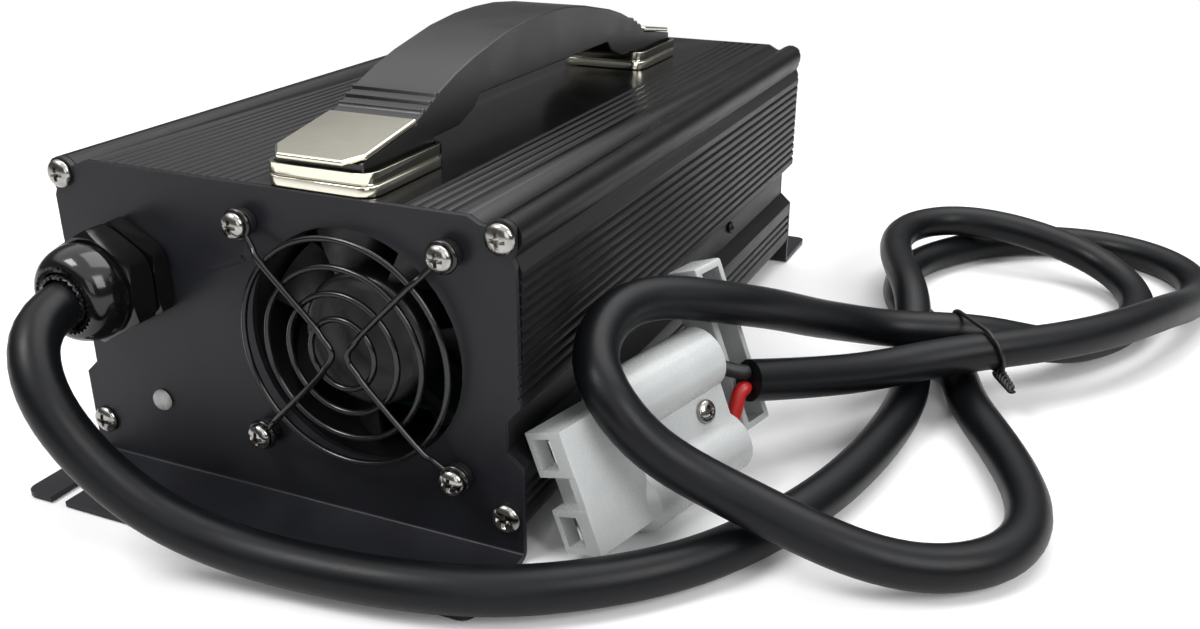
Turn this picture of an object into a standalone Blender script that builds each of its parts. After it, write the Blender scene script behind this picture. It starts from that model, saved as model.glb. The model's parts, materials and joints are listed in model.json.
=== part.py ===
"""Portable battery charger: a ribbed aluminium case with a fan, a carry handle and an output lead.

Metres, +Z up. The case stands on its bent panel feet at z = 0, its length runs along Y, the fan faces -Y,
and the origin is the centre of the base. Depths are measured from the front panel's outer face.
"""

import math

import bmesh
import bpy
import numpy as np
from mathutils import Euler, Matrix, Vector

# Fits
GAP = 0.0003
HOLE_CLEARANCE = 0.0004
CUT = 0.002
WELD = 0.000001
SHARP_ANGLE = math.radians(35)

# Case
CASE_LENGTH = 0.289
CASE_HEIGHT = 0.1085
CASE_HALF_WIDTH = 0.0865
SHEET = 0.002
WALL = 0.0025
SKIRT = 0.0084
BEAD_RADIUS = 0.0055
LOWER_RADIUS = 0.0055
GROOVE_PITCH = 0.00353
GROOVE_WIDTH = 0.0017
GROOVE_DEPTH = 0.0008
BEAD_SWEEP = (148, -38)
SHOULDER = 0.0021
FACE_START = 0.0150
FACE_TAPER = 0.0010
EDGE_INSET = 0.0012
RECESS_LOW = 0.036
RECESS_HIGH = 0.047
RECESS_DEPTH = 0.0050
RECESS_RAMP = 0.0045
LOWER_GROOVES = 3
LOWER_START = 0.011
BOSS_RADIUS = 0.0070
TOP_FLAT_HALF = 0.0705
TOP_PITCH = 0.00375
RIGHT_GROOVES = (0.0496, 5)
LEFT_GROOVES = (-0.0080, 16)

# Bent feet of the end panels
FOOT_DEPTH = 0.034
BEND_RADIUS = 0.001
FOOT_CORNER = 0.004
FOOT_SLOT_X = 0.0705
FOOT_SLOT_WIDTH = 0.0065
FOOT_SLOT_DEPTH = 0.016

# Screws: shank radius, head radius, head height
PANEL_SCREW = (0.0016, 0.00475, 0.0026)
FAN_SCREW = (0.0018, 0.00425, 0.0026)
HANDLE_SCREW = (0.0018, 0.0038, 0.0024)
SIDE_SCREW = (0.0013, 0.0026, 0.0016)
INLET_SCREW = (0.0014, 0.0028, 0.0018)
CONNECTOR_SCREW = (0.0014, 0.0040, 0.0022)
PANEL_SCREW_REACH = 0.018
SIDE_SCREW_REACH = 0.008
INLET_SCREW_REACH = 0.010
SCREW_SIDES = 12

# Fan
FAN_X = 0.0287
FAN_Z = 0.0612
FAN_SIZE = 0.080
FAN_DEPTH = 0.025
FAN_HOLE_INSET = 0.00425
FAN_HOLE_SPACING = FAN_SIZE - 2 * FAN_HOLE_INSET
FAN_RIM = 0.002
FAN_BORE_RADIUS = FAN_SIZE / 2 - FAN_RIM
FAN_CORNER = 0.004
FAN_STRUT = 0.003
FAN_HUB_RADIUS = 0.022
FAN_TIP_CLEARANCE = 0.0015
FAN_TIP_RADIUS = FAN_BORE_RADIUS - FAN_TIP_CLEARANCE
FAN_BLADES = 7
FAN_CHORD = 0.022
FAN_BLADE_THICKNESS = 0.0014
FAN_SHAFT_RADIUS = 0.0015
FAN_SHAFT_CLEARANCE = 0.00008
FAN_BACK_PLATE = 0.003
FAN_FRONT_CLEARANCE = 0.0025
FAN_BACK_CLEARANCE = 0.0012
FAN_PITCH = (52, 30)
FAN_ROOT_CHORD = 0.82
STRUT_ANGLE = 35

# Wire guard
WIRE_RADIUS = 0.001
GUARD_RING_INSET = 0.0015
GUARD_RING_RADIUS = FAN_BORE_RADIUS - GUARD_RING_INSET
GUARD_RATIOS = (1.0, 0.76, 0.53, 0.31)
GUARD_RING_OUT = 0.0058
GUARD_ARM_OUT = 0.0072
GUARD_APEX = 0.0028
GUARD_BEND = 0.0128
GUARD_EAR_RADIUS = 0.0042
SPACER_HEIGHT = 0.0027
SPACER_RADIUS = 0.0045
GUARD_EAR_OUT = SPACER_HEIGHT + WIRE_RADIUS + 2 * GAP

# Output lead
LEAD_DIAMETER = 0.0145
LEAD_POINTS = 80
LEAD_BEND_WEIGHT = 0.03
CONDUCTOR_RADIUS = 0.0026

# Cable gland
GLAND_X = -0.0565
GLAND_Z = 0.0732
GLAND_FLATS = 0.033
GLAND_THREAD_RADIUS = 0.0138
GLAND_BODY_HEX = 0.007
GLAND_CAP_START = GLAND_BODY_HEX + 4 * GAP
GLAND_CAP_HEX = 0.0093
GLAND_DOME = 0.0117
GLAND_CAP_HEX_END = GLAND_CAP_START + GLAND_CAP_HEX
GLAND_CAP_END = GLAND_CAP_HEX_END + GLAND_DOME
GLAND_NECK_END = 0.020
GLAND_SEAL_WALL = 0.00105
GLAND_SEAL_RADIUS = LEAD_DIAMETER / 2 + HOLE_CLEARANCE + GLAND_SEAL_WALL
GLAND_MOUTH_RADIUS = GLAND_SEAL_RADIUS + 2 * GAP
GLAND_SEAL_PROUD = 0.0013
GLAND_SEAL_OUT = GLAND_CAP_END + GLAND_SEAL_PROUD
GLAND_SEAL_INNER = 0.008
GLAND_NUT = 0.0045
GLAND_THREAD_END = 0.003
GLAND_DOME_INSET = 0.0006

# Lamp
LAMP_X = -0.052
LAMP_Z = 0.0271
LAMP_RADIUS = 0.00375
LAMP_STEM_RADIUS = 0.0025
LAMP_STEM = 0.007
LAMP_HEIGHT = 0.0024
DIMPLE_X = -0.0098
DIMPLE_Z = 0.0843
DIMPLE_RADIUS = 0.002
DIMPLE_DEPTH = 0.0006

# Handle
HANDLE_X = 0.0193
HANDLE_MIDDLE = 0.1246
TRAY_LENGTH = 0.0425
TRAY_FRONT = 0.0015
TRAY_WIDTH = 0.0385
TRAY_HEIGHT = 0.0072
TRAY_WALL = 0.0015
TRAY_CORNER = 0.005
GRIP_WIDTH = 0.0315
GRIP_TOP = (
    (0.0336, 0.0162), (0.0477, 0.0226), (0.0580, 0.0262), (0.0696, 0.0293), (0.0931, 0.0339),
    (0.1100, 0.0357), (0.1246, 0.0361),
)
GRIP_UNDER = ((0.0420, 0.0086), (0.0580, 0.0090), (0.0680, 0.0125), (0.0722, 0.0165))
GRIP_RIB_FIRST = 0.0370
GRIP_RIB_PITCH = 0.0040
GRIP_RIB_COUNT = 3
GRIP_RIB = 0.0010
GRIP_BEVEL = 0.0006
CAP_FRONT = -0.0010
CAP_LENGTH = 0.0335
CAP_WIDTH = 0.0322
CAP_LOW = 0.0114
CAP_HIGH = 0.0168
CAP_THICKNESS = 0.0018
CAP_CORNER = (0.0045, 0.0060)
HANDLE_SCREW_X = 0.009
HANDLE_SCREW_DEPTH = 0.018
HANDLE_SCREW_REACH = 0.008

# Side screws
SIDE_SCREW_DEPTH = 0.207
SIDE_SCREW_Z = 0.0430

# Rear panel
VENT_COUNT = 9
VENT_WIDTH = 0.0032
VENT_HEIGHT = 0.038
VENT_PITCH = 0.0065
VENT_X = -0.040
VENT_Z = 0.068
INLET_X = 0.045
INLET_Z = 0.045
INLET_WIDTH = 0.027
INLET_HEIGHT = 0.0195
INLET_DEPTH = 0.022
INLET_BOTTOM = 0.004
INLET_FLANGE = (0.048, 0.0285, 0.003)
INLET_PINS = ((-0.007, -0.002), (0.007, -0.002), (0.0, 0.002))
INLET_PIN = (0.001, 0.002)
INLET_SCREW_SPACING = 0.040
INLET_WALL = 0.002

# Inside
BOARD_LENGTH = 0.215
BOARD_WIDTH = 0.140
BOARD_START = 0.045
BOARD_THICKNESS = 0.0016
STANDOFF_HEIGHT = 0.006
STANDOFF_RADIUS = 0.003
STANDOFF_INSET = 0.008
CORE_SIZE = (0.052, 0.050, 0.045)
CORE_CENTRE = (-0.032, 0.160)
WINDING_MARGIN = (0.006, -0.007, 0.006)
CAN_RADIUS = 0.0105
CAN_HEIGHT = 0.042
CAN_ROUND = 0.001
CAN_CENTRES = ((0.020, 0.235), (0.044, 0.235))
HEATSINK_X = (0.012, 0.046)
HEATSINK_SPAN = (0.085, 0.200)
HEATSINK_HEIGHT = 0.050
HEATSINK_THICKNESS = 0.004
FIN_COUNT = 5
FIN_PITCH = 0.009
FIN_REACH = 0.014
FIN_THICKNESS = 0.002

# Route of the output lead: across, behind the front face, up
LEAD_ROUTE = (
    (-0.0565, -0.0120, 0.0732), (-0.0565, -0.0340, 0.0732), (-0.0545, -0.0445, 0.0707),
    (-0.0480, -0.0520, 0.0640), (-0.0375, -0.0570, 0.0510), (-0.0187, -0.0535, 0.0290),
    (-0.0020, -0.0480, 0.0165), (0.0240, -0.0430, 0.0102), (0.0660, -0.0375, 0.0098),
    (0.0984, -0.0250, 0.0090), (0.1333, 0.0054, 0.0076), (0.1550, 0.0430, 0.0075),
    (0.1670, 0.0800, 0.0075), (0.1730, 0.1220, 0.0075), (0.1732, 0.1469, 0.0075),
    (0.1705, 0.1690, 0.0078), (0.1665, 0.1890, 0.0132), (0.1610, 0.2120, 0.0224),
    (0.1490, 0.2450, 0.0226), (0.1405, 0.2760, 0.0226), (0.1425, 0.3020, 0.0226),
    (0.1570, 0.3205, 0.0226), (0.1760, 0.3240, 0.0224), (0.2000, 0.3200, 0.0205),
    (0.2262, 0.3170, 0.0140), (0.2430, 0.3030, 0.0090), (0.2500, 0.2780, 0.0075),
    (0.2465, 0.2500, 0.0075), (0.2340, 0.2250, 0.0078), (0.2190, 0.2040, 0.0120),
    (0.2040, 0.1880, 0.0195), (0.1890, 0.1765, 0.0245), (0.1740, 0.1705, 0.0248),
    (0.1600, 0.1645, 0.0250), (0.1490, 0.1520, 0.0305), (0.1390, 0.1310, 0.0390),
    (0.1310, 0.1100, 0.0490), (0.1236, 0.0915, 0.0565), (0.1125, 0.0755, 0.0630),
    (0.1010, 0.0640, 0.0668), (0.0945, 0.0490, 0.0670), (0.0942, 0.0345, 0.0640),
    (0.0975, 0.0215, 0.0580), (0.1076, 0.0137, 0.0537), (0.1165, 0.0155, 0.0400),
    (0.1330, 0.0205, 0.0295), (0.1510, 0.0225, 0.0228), (0.1700, 0.0215, 0.0175),
    (0.1900, 0.0270, 0.0105), (0.2085, 0.0370, 0.0076), (0.2215, 0.0510, 0.0075),
    (0.2253, 0.0700, 0.0075), (0.2210, 0.0920, 0.0075), (0.2083, 0.1213, 0.0075),
    (0.1945, 0.1480, 0.0075), (0.1880, 0.1710, 0.0075), (0.1790, 0.1960, 0.0075),
    (0.1645, 0.2190, 0.0075), (0.1515, 0.2400, 0.0075), (0.1460, 0.2680, 0.0075),
    (0.1495, 0.2939, 0.0075), (0.1594, 0.3138, 0.0075), (0.1720, 0.3310, 0.0075),
    (0.1875, 0.3453, 0.0075), (0.2090, 0.3560, 0.0075), (0.2330, 0.3570, 0.0075),
    (0.2550, 0.3475, 0.0075), (0.2700, 0.3290, 0.0075), (0.2745, 0.3050, 0.0076),
    (0.2700, 0.2760, 0.0120), (0.2600, 0.2460, 0.0185), (0.2450, 0.2130, 0.0222),
    (0.2280, 0.1890, 0.0235), (0.2120, 0.1730, 0.0240), (0.1985, 0.1610, 0.0245),
    (0.1845, 0.1500, 0.0238), (0.1720, 0.1388, 0.0232), (0.1605, 0.1240, 0.0240),
    (0.1502, 0.1110, 0.0265), (0.1412, 0.0970, 0.0298), (0.1295, 0.0812, 0.0338),
)

# Tie round the two upper strands
TIE_CENTRE = (0.1935, 0.1690, 0.0244)
TIE_HEADING = math.radians(38)
TIE_CLEARANCE = 0.0007
TIE_THICKNESS = 0.0012
TIE_WIDTH = 0.0045

# Connector at the end of the lead, in its own axes: X through its thickness, Y rearward, Z up its width
CONNECTOR_CORNER = (0.0829, 0.0073, 0.0400)
CONNECTOR_TURN = (math.radians(4.4), math.radians(-21.2), math.radians(-20.4))
CONNECTOR_THICKNESS = 0.016
CONNECTOR_ROUND = 0.001
NOSE_WIDTH = 0.0146
NOSE_PITCH = 0.0254
NOTCH_LENGTH = 0.005
NOSE_PROUD = 0.0002
FACE_PLATE = 0.0032
FACE_LENGTH = 0.026
HOUSING_LENGTH = 0.072
BARREL_RADIUS = 0.0110
BARREL_INSET = 0.0050
VALLEY_THICKNESS = 0.0135
SOCKET_WALL = 0.0022
SOCKET_FACE_WALL = 0.0057
SOCKET_DEPTH = 0.022
CONTACT_THICKNESS = 0.0022
CONTACT_SEAT = 0.006
CONTACT_SETBACK = 0.002
CONTACT_MARGIN = 0.001
WIRE_OPENING_RADIUS = 0.0078
WIRE_OPENING_DEPTH = 0.014
BAR_SIZE = 0.014
BAR_WALL = 0.0026
BAR_LOW = -0.038
BAR_HIGH = 0.022
BAR_START = 0.0845
BAR_BACK = -0.008
TONGUE_HALF = 0.0041
TONGUE_START = 0.053
TONGUE_THICKNESS = 0.003
CONNECTOR_SCREW_INSET = 0.008

# Colours as linear RGB, roughness, metallic
FINISHES = {
    "case_enamel": ((0.052, 0.054, 0.058), 0.42, 0.2),
    "bright_steel": ((0.62, 0.62, 0.60), 0.25, 1.0),
    "dark_steel": ((0.05, 0.05, 0.05), 0.4, 0.8),
    "nickel": ((0.58, 0.56, 0.45), 0.28, 1.0),
    "satin_black": ((0.012, 0.012, 0.013), 0.45, 0.0),
    "fan_black": ((0.010, 0.010, 0.011), 0.55, 0.0),
    "rubber_black": ((0.014, 0.014, 0.015), 0.6, 0.0),
    "gland_black": ((0.010, 0.010, 0.010), 0.25, 0.0),
    "lamp_clear": ((0.70, 0.72, 0.68), 0.2, 0.0),
    "connector_grey": ((0.50, 0.51, 0.50), 0.45, 0.0),
    "silver_contact": ((0.75, 0.75, 0.73), 0.22, 1.0),
    "red_jacket": ((0.45, 0.015, 0.012), 0.45, 0.0),
    "board_green": ((0.02, 0.12, 0.05), 0.5, 0.0),
    "core_grey": ((0.10, 0.10, 0.10), 0.6, 0.0),
    "can_blue": ((0.03, 0.06, 0.20), 0.4, 0.0),
    "mill_aluminium": ((0.55, 0.56, 0.57), 0.35, 1.0),
}


def depth(distance):
    """World Y of a distance behind the front panel's outer face."""
    return distance - CASE_LENGTH / 2


def clear_scene():
    """Empty the file, so that the model is all it holds."""
    for old in list(bpy.data.objects):
        bpy.data.objects.remove(old, do_unlink=True)
    for old in list(bpy.data.collections):
        bpy.data.collections.remove(old)


def make_collections():
    """One collection for the pieces, one for the shapes that only cut or join them."""
    pieces = bpy.data.collections.new("battery_charger")
    cutters = bpy.data.collections.new("cutters")
    for collection in (pieces, cutters):
        bpy.context.scene.collection.children.link(collection)
    return pieces, cutters


def make_material(name):
    """A plain shader in one of the listed finishes."""
    colour, roughness, metallic = FINISHES[name]
    material = bpy.data.materials.new(name)
    material.use_nodes = True
    shader = material.node_tree.nodes["Principled BSDF"]
    shader.inputs["Base Color"].default_value = (*colour, 1.0)
    shader.inputs["Roughness"].default_value = roughness
    shader.inputs["Metallic"].default_value = metallic
    return material


clear_scene()
PIECES, CUTTERS = make_collections()
MATERIALS = {name: make_material(name) for name in FINISHES}


def shade_round(mesh):
    """Smooth faces with crisp edges where the surface turns sharply."""
    for polygon in mesh.polygons:
        polygon.use_smooth = True
    mesh.set_sharp_from_angle(angle=SHARP_ANGLE)


def add_object(name, data, finish=None, parent=None):
    """Put the data in the scene: a piece if it has a finish, otherwise a hidden cutter."""
    obj = bpy.data.objects.new(name, data)
    obj.parent = parent
    if finish:
        PIECES.objects.link(obj)
        data.materials.append(MATERIALS[finish])
    else:
        CUTTERS.objects.link(obj)
        obj.hide_render = True
        obj.display_type = "WIRE"
    return obj


def add_bmesh(name, bm, finish=None, parent=None):
    """Turn a bmesh into a shaded object."""
    bmesh.ops.recalc_face_normals(bm, faces=bm.faces)
    mesh = bpy.data.meshes.new(name)
    bm.to_mesh(mesh)
    bm.free()
    shade_round(mesh)
    return add_object(name, mesh, finish, parent)


def add_box(name, low, high, finish=None, parent=None, bevel=0.0):
    """A box between two corners, with its edges rounded if a bevel is given."""
    low, high = Vector(low), Vector(high)
    bm = bmesh.new()
    bmesh.ops.create_cube(bm, size=1.0)
    bmesh.ops.scale(bm, vec=high - low, verts=bm.verts)
    bmesh.ops.translate(bm, vec=(low + high) / 2, verts=bm.verts)
    if bevel:
        bmesh.ops.bevel(bm, geom=bm.edges, offset=bevel, segments=2, affect="EDGES", profile=0.5)
    return add_bmesh(name, bm, finish, parent)


def add_cylinder(name, start, end, radius, finish=None, parent=None, sides=24, end_radius=None):
    """A cylinder or cone from one point to another."""
    start, end = Vector(start), Vector(end)
    along = end - start
    bm = bmesh.new()
    bmesh.ops.create_cone(
        bm, cap_ends=True, segments=sides, radius1=radius,
        radius2=radius if end_radius is None else end_radius, depth=along.length,
    )
    turn = along.to_track_quat("Z", "Y").to_matrix().to_4x4()
    bmesh.ops.transform(bm, matrix=Matrix.Translation((start + end) / 2) @ turn, verts=bm.verts)
    return add_bmesh(name, bm, finish, parent)


def add_turned(name, profile, finish=None, steps=SCREW_SIDES, parent=None):
    """A shape turned about Z by a Screw from a profile of (radius, height), read from top to bottom."""
    mesh = bpy.data.meshes.new(name)
    bm = bmesh.new()
    closed = profile[0] == profile[-1]
    corners = [bm.verts.new((radius, 0.0, height)) for radius, height in profile[: len(profile) - closed]]
    if closed:
        corners.append(corners[0])
    for first, second in zip(corners, corners[1:]):
        bm.edges.new((first, second))
    bm.to_mesh(mesh)
    bm.free()
    obj = add_object(name, mesh, finish, parent)
    screw = obj.modifiers.new("turn", "SCREW")
    screw.axis = "Z"
    screw.steps = steps
    screw.render_steps = steps
    screw.use_merge_vertices = True
    screw.merge_threshold = 10 * WELD
    return obj


def aim(obj, origin, direction):
    """Place a turned shape with its +Z along the direction."""
    obj.location = Vector(origin)
    obj.rotation_euler = Vector(direction).to_track_quat("Z", "Y").to_euler()
    return obj


def mesh_of(obj):
    """The mesh that an object's curve and modifiers make, in world space."""
    bpy.context.view_layer.update()
    evaluated = obj.evaluated_get(bpy.context.evaluated_depsgraph_get())
    mesh = bpy.data.meshes.new_from_object(evaluated)
    mesh.transform(obj.matrix_world)
    return mesh


def prism(name, outlines, low, high, finish=None, axis="Y", bevel=0.0):
    """Fill flat outlines, the later ones being holes, and carry them from low to high along an axis.

    An outline lies in (X, Z) for axis Y, in (Y, Z) for axis X and in (X, Y) for axis Z.
    """
    curve = bpy.data.curves.new(name + "_outline", "CURVE")
    curve.dimensions = "2D"
    curve.fill_mode = "BOTH"
    curve.extrude = (high - low) / 2
    for outline in outlines:
        spline = curve.splines.new("POLY")
        spline.points.add(len(outline) - 1)
        for point, (across, up) in zip(spline.points, outline):
            point.co = (across, up, 0.0, 1.0)
        spline.use_cyclic_u = True
    guide = add_object(name + "_outline", curve)
    middle = (low + high) / 2
    if axis == "Y":
        guide.matrix_world = Matrix.Translation((0, middle, 0)) @ Matrix.Rotation(math.pi / 2, 4, "X")
    elif axis == "X":
        turn = Euler((math.pi / 2, 0, math.pi / 2)).to_matrix().to_4x4()
        guide.matrix_world = Matrix.Translation((middle, 0, 0)) @ turn
    else:
        guide.matrix_world = Matrix.Translation((0, 0, middle))
    mesh = mesh_of(guide)
    bpy.data.objects.remove(guide, do_unlink=True)
    bm = bmesh.new()
    bm.from_mesh(mesh)
    bpy.data.meshes.remove(mesh)
    bmesh.ops.remove_doubles(bm, verts=bm.verts, dist=WELD)
    if bevel:
        sharp = [edge for edge in bm.edges if edge.calc_face_angle(0.0) > SHARP_ANGLE]
        bmesh.ops.bevel(bm, geom=sharp, offset=bevel, segments=1, affect="EDGES", profile=0.5)
    return add_bmesh(name, bm, finish)


def combine(target, tool, operation="DIFFERENCE", solver="EXACT"):
    """Cut, join or intersect a piece with a hidden shape."""
    modifier = target.modifiers.new(operation.lower(), "BOOLEAN")
    modifier.operation = operation
    modifier.solver = solver
    modifier.object = tool
    return target


def tube(name, points, radius, finish=None, parent=None, detail=2):
    """A round bar along a list of points."""
    curve = bpy.data.curves.new(name, "CURVE")
    curve.dimensions = "3D"
    curve.bevel_depth = radius
    curve.bevel_resolution = detail
    curve.use_fill_caps = True
    spline = curve.splines.new("POLY")
    spline.points.add(len(points) - 1)
    for point, place in zip(spline.points, points):
        point.co = (*place, 1.0)
    return add_object(name, curve, finish, parent)


def solid_tube(name, points, radius, parent=None):
    """A round bar as a mesh, for joining to others."""
    guide = tube(name + "_line", points, radius)
    mesh = mesh_of(guide)
    bpy.data.objects.remove(guide, do_unlink=True)
    bm = bmesh.new()
    bm.from_mesh(mesh)
    bpy.data.meshes.remove(mesh)
    bmesh.ops.remove_doubles(bm, verts=bm.verts, dist=WELD)
    return add_bmesh(name, bm, parent=parent)


def smooth_line(route, count, bend_weight=0.0):
    """Points on a smooth curve through a route, closer together in its bends if these are given a weight."""
    points = np.array(route)
    padded = np.vstack([2 * points[0] - points[1], points, 2 * points[-1] - points[-2]])
    dense = []
    for before, start, end, after in zip(padded, padded[1:], padded[2:], padded[3:]):
        for t in np.linspace(0.0, 1.0, 12, endpoint=False):
            dense.append(
                0.5 * (2 * start + (end - before) * t + (2 * before - 5 * start + 4 * end - after) * t**2
                       + (3 * start - before - 3 * end + after) * t**3)
            )
    dense = np.array(dense + [points[-1]])
    steps = np.diff(dense, axis=0)
    lengths = np.linalg.norm(steps, axis=1)
    ways = steps / lengths[:, None]
    turns = np.linalg.norm(np.diff(ways, axis=0, prepend=ways[:1]), axis=1)
    travelled = np.concatenate([[0.0], np.cumsum(lengths + bend_weight * turns)])
    wanted = np.linspace(0.0, travelled[-1], count)
    return [tuple(np.interp(wanted, travelled, dense[:, k])[i] for k in range(3)) for i in range(count)]


def arc(centre, radius, start, end, count):
    """Points on a circle between two angles in degrees."""
    angles = [math.radians(start + (end - start) * i / (count - 1)) for i in range(count)]
    return [(centre[0] + radius * math.cos(a), centre[1] + radius * math.sin(a)) for a in angles]


def rounded_rectangle(centre, width, height, radius, count=4):
    """Outline of a rectangle with round corners, anticlockwise."""
    points = []
    for index, (sx, sy) in enumerate(((1, 1), (-1, 1), (-1, -1), (1, -1))):
        corner = (centre[0] + sx * (width / 2 - radius), centre[1] + sy * (height / 2 - radius))
        points += arc(corner, radius, 90 * index, 90 * index + 90, count)
    return points


def hexagon(centre, flats):
    """Outline of a hexagon with a corner at the top."""
    radius = flats / math.sqrt(3)
    return arc(centre, radius, 90, 390, 6)


def corner_bores():
    """Places of the four bores that take the panel screws."""
    upper = (CASE_HALF_WIDTH - BEAD_RADIUS, CASE_HEIGHT - BEAD_RADIUS + GAP)
    lower = (CASE_HALF_WIDTH - EDGE_INSET - LOWER_RADIUS, SKIRT + LOWER_RADIUS)
    return [(side * x, z) for side in (1, -1) for x, z in (upper, lower)]


def recess_face():
    """Half width of the case at the bottom of its side recess."""
    return CASE_HALF_WIDTH - RECESS_DEPTH - EDGE_INSET


def groove(x, z, width=GROOVE_WIDTH):
    """Three corners of a V groove in a side face at a height."""
    return [(x, z + width / 2), (x - GROOVE_DEPTH, z), (x, z - width / 2)]


def side_outline():
    """Right-hand outline of the case, from its flat top down to its underside."""
    (bead_x, bead_z), (low_x, low_z) = corner_bores()[:2]
    face_top = CASE_HEIGHT - FACE_START
    face_low = RECESS_HIGH + RECESS_RAMP
    recess_x = recess_face()
    ramp = RECESS_RAMP / 4

    def face_x(z):
        return CASE_HALF_WIDTH - GAP - FACE_TAPER * (face_top - z) / (face_top - face_low)

    points = [(bead_x - BEAD_RADIUS - ramp, CASE_HEIGHT - SHOULDER)]
    points += arc((bead_x, bead_z), BEAD_RADIUS, *BEAD_SWEEP, 9)
    points += [(CASE_HALF_WIDTH - SHOULDER, face_top + 2 * SHOULDER), (face_x(face_top), face_top)]
    for index in range(int((face_top - face_low - GROOVE_WIDTH) / GROOVE_PITCH)):
        z = face_top - GROOVE_PITCH * (index + 0.9)
        points += groove(face_x(z), z)
    points += [
        (face_x(face_low), face_low), (recess_x + ramp, RECESS_HIGH), (recess_x, RECESS_HIGH - ramp),
        (recess_x, RECESS_LOW), (CASE_HALF_WIDTH - EDGE_INSET, RECESS_LOW - RECESS_RAMP),
    ]
    for index in range(LOWER_GROOVES):
        points += groove(low_x + LOWER_RADIUS, RECESS_LOW - LOWER_START - GROOVE_PITCH * index)
    points += arc((low_x, low_z), LOWER_RADIUS, 0, -90, 6)
    return points


def top_grooves():
    """Grooved top of the case, from left to right."""
    points = []
    left_start, left_count = LEFT_GROOVES
    right_start, right_count = RIGHT_GROOVES
    places = [left_start - TOP_PITCH * (left_count - 1 - i) for i in range(left_count)]
    places += [right_start + TOP_PITCH * i for i in range(right_count)]
    half = GROOVE_WIDTH / 2
    for x in places:
        points += [(x - half, CASE_HEIGHT), (x, CASE_HEIGHT - GROOVE_DEPTH), (x + half, CASE_HEIGHT)]
    return [(-TOP_FLAT_HALF, CASE_HEIGHT), *points, (TOP_FLAT_HALF, CASE_HEIGHT)]


def mirrored(points):
    """The same outline on the other side, in reverse order."""
    return [(-x, z) for x, z in reversed(points)]


def case_outline():
    """Outer outline of the extrusion."""
    right = side_outline()
    return top_grooves() + right + mirrored(right)


def case_hollow():
    """Inner outline of the extrusion, which leaves the screw bosses solid."""
    (bead_x, bead_z), (low_x, low_z) = corner_bores()[:2]
    wall_x = CASE_HALF_WIDTH - EDGE_INSET - WALL
    recess_x = recess_face() - WALL
    floor = SKIRT + WALL
    boss = BOSS_RADIUS
    corner = 0.45 * boss
    right = [
        (bead_x - boss - corner / 2, CASE_HEIGHT - WALL), (bead_x - boss, bead_z - corner),
        (bead_x - corner, bead_z - boss), (wall_x, CASE_HEIGHT - FACE_START - WALL / 2),
        (wall_x - FACE_TAPER, RECESS_HIGH + RECESS_RAMP), (recess_x, RECESS_HIGH), (recess_x, RECESS_LOW),
        (wall_x - FACE_TAPER, RECESS_LOW - RECESS_RAMP), (wall_x - FACE_TAPER, low_z + boss + corner),
        (low_x - corner, low_z + boss), (low_x - boss, low_z + corner), (low_x - boss, floor),
    ]
    return right + mirrored(right)


def add_screw(name, place, direction, sizes, reach, finish, parent=None, cross=True):
    """A pan-head screw with its head's underside at the place and its shank running back from there."""
    shank, head, height = sizes
    profile = (
        (0.0, height), (head * 0.62, height * 0.92), (head * 0.9, height * 0.6), (head, height * 0.15),
        (head, 0.0), (shank, 0.0), (shank, -reach + shank), (0.0, -reach),
    )
    screw = aim(add_turned(name, profile, finish, parent=parent), place, direction)
    if cross:
        arm = head * 0.55
        slot = head * 0.11
        for index, half in enumerate(((arm, slot), (slot, arm))):
            low, high = (-half[0], -half[1], height * 0.45), (half[0], half[1], height + CUT)
            tool = add_box(f"{name}_drive_{index}", low, high, parent=parent)
            aim(tool, place, direction)
            combine(screw, tool)
    return screw


def build_case():
    """The ribbed extrusion, open at both ends."""
    bore = PANEL_SCREW[0] + HOLE_CLEARANCE
    outlines = [case_outline(), case_hollow()]
    outlines += [arc(place, bore, 0, 330, 12) for place in corner_bores()]
    shell = prism("case_shell", outlines, depth(SHEET + GAP), depth(CASE_LENGTH - SHEET - GAP), "case_enamel")
    handle_hole = HANDLE_SCREW[0] + HOLE_CLEARANCE
    for index, (x, y) in enumerate(handle_screw_places()):
        low, high = (x, y, CASE_HEIGHT - WALL - CUT), (x, y, CASE_HEIGHT + CUT)
        combine(shell, add_cylinder(f"top_hole_{index}", low, high, handle_hole, sides=12))
    for side in (1, -1):
        inner = side * (recess_face() - WALL - CUT)
        outer = side * CASE_HALF_WIDTH
        y = depth(SIDE_SCREW_DEPTH)
        hole = add_cylinder(
            f"side_hole_{side}", (inner, y, SIDE_SCREW_Z), (outer, y, SIDE_SCREW_Z),
            SIDE_SCREW[0] + HOLE_CLEARANCE, sides=12,
        )
        combine(shell, hole)
        seat = (side * (recess_face() + GAP), y, SIDE_SCREW_Z)
        name = "side_screw_right" if side > 0 else "side_screw_left"
        add_screw(name, seat, (side, 0, 0), SIDE_SCREW, SIDE_SCREW_REACH, "dark_steel")
    return shell


def panel_outline():
    """Outline of an end panel: the case's own outline, carried straight down to the floor."""
    right = [(TOP_FLAT_HALF, CASE_HEIGHT)]
    right += [point for point in side_outline() if point[1] > RECESS_LOW - RECESS_RAMP - GAP]
    right.append((CASE_HALF_WIDTH - EDGE_INSET, -CUT))
    return right + mirrored(right)


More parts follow.
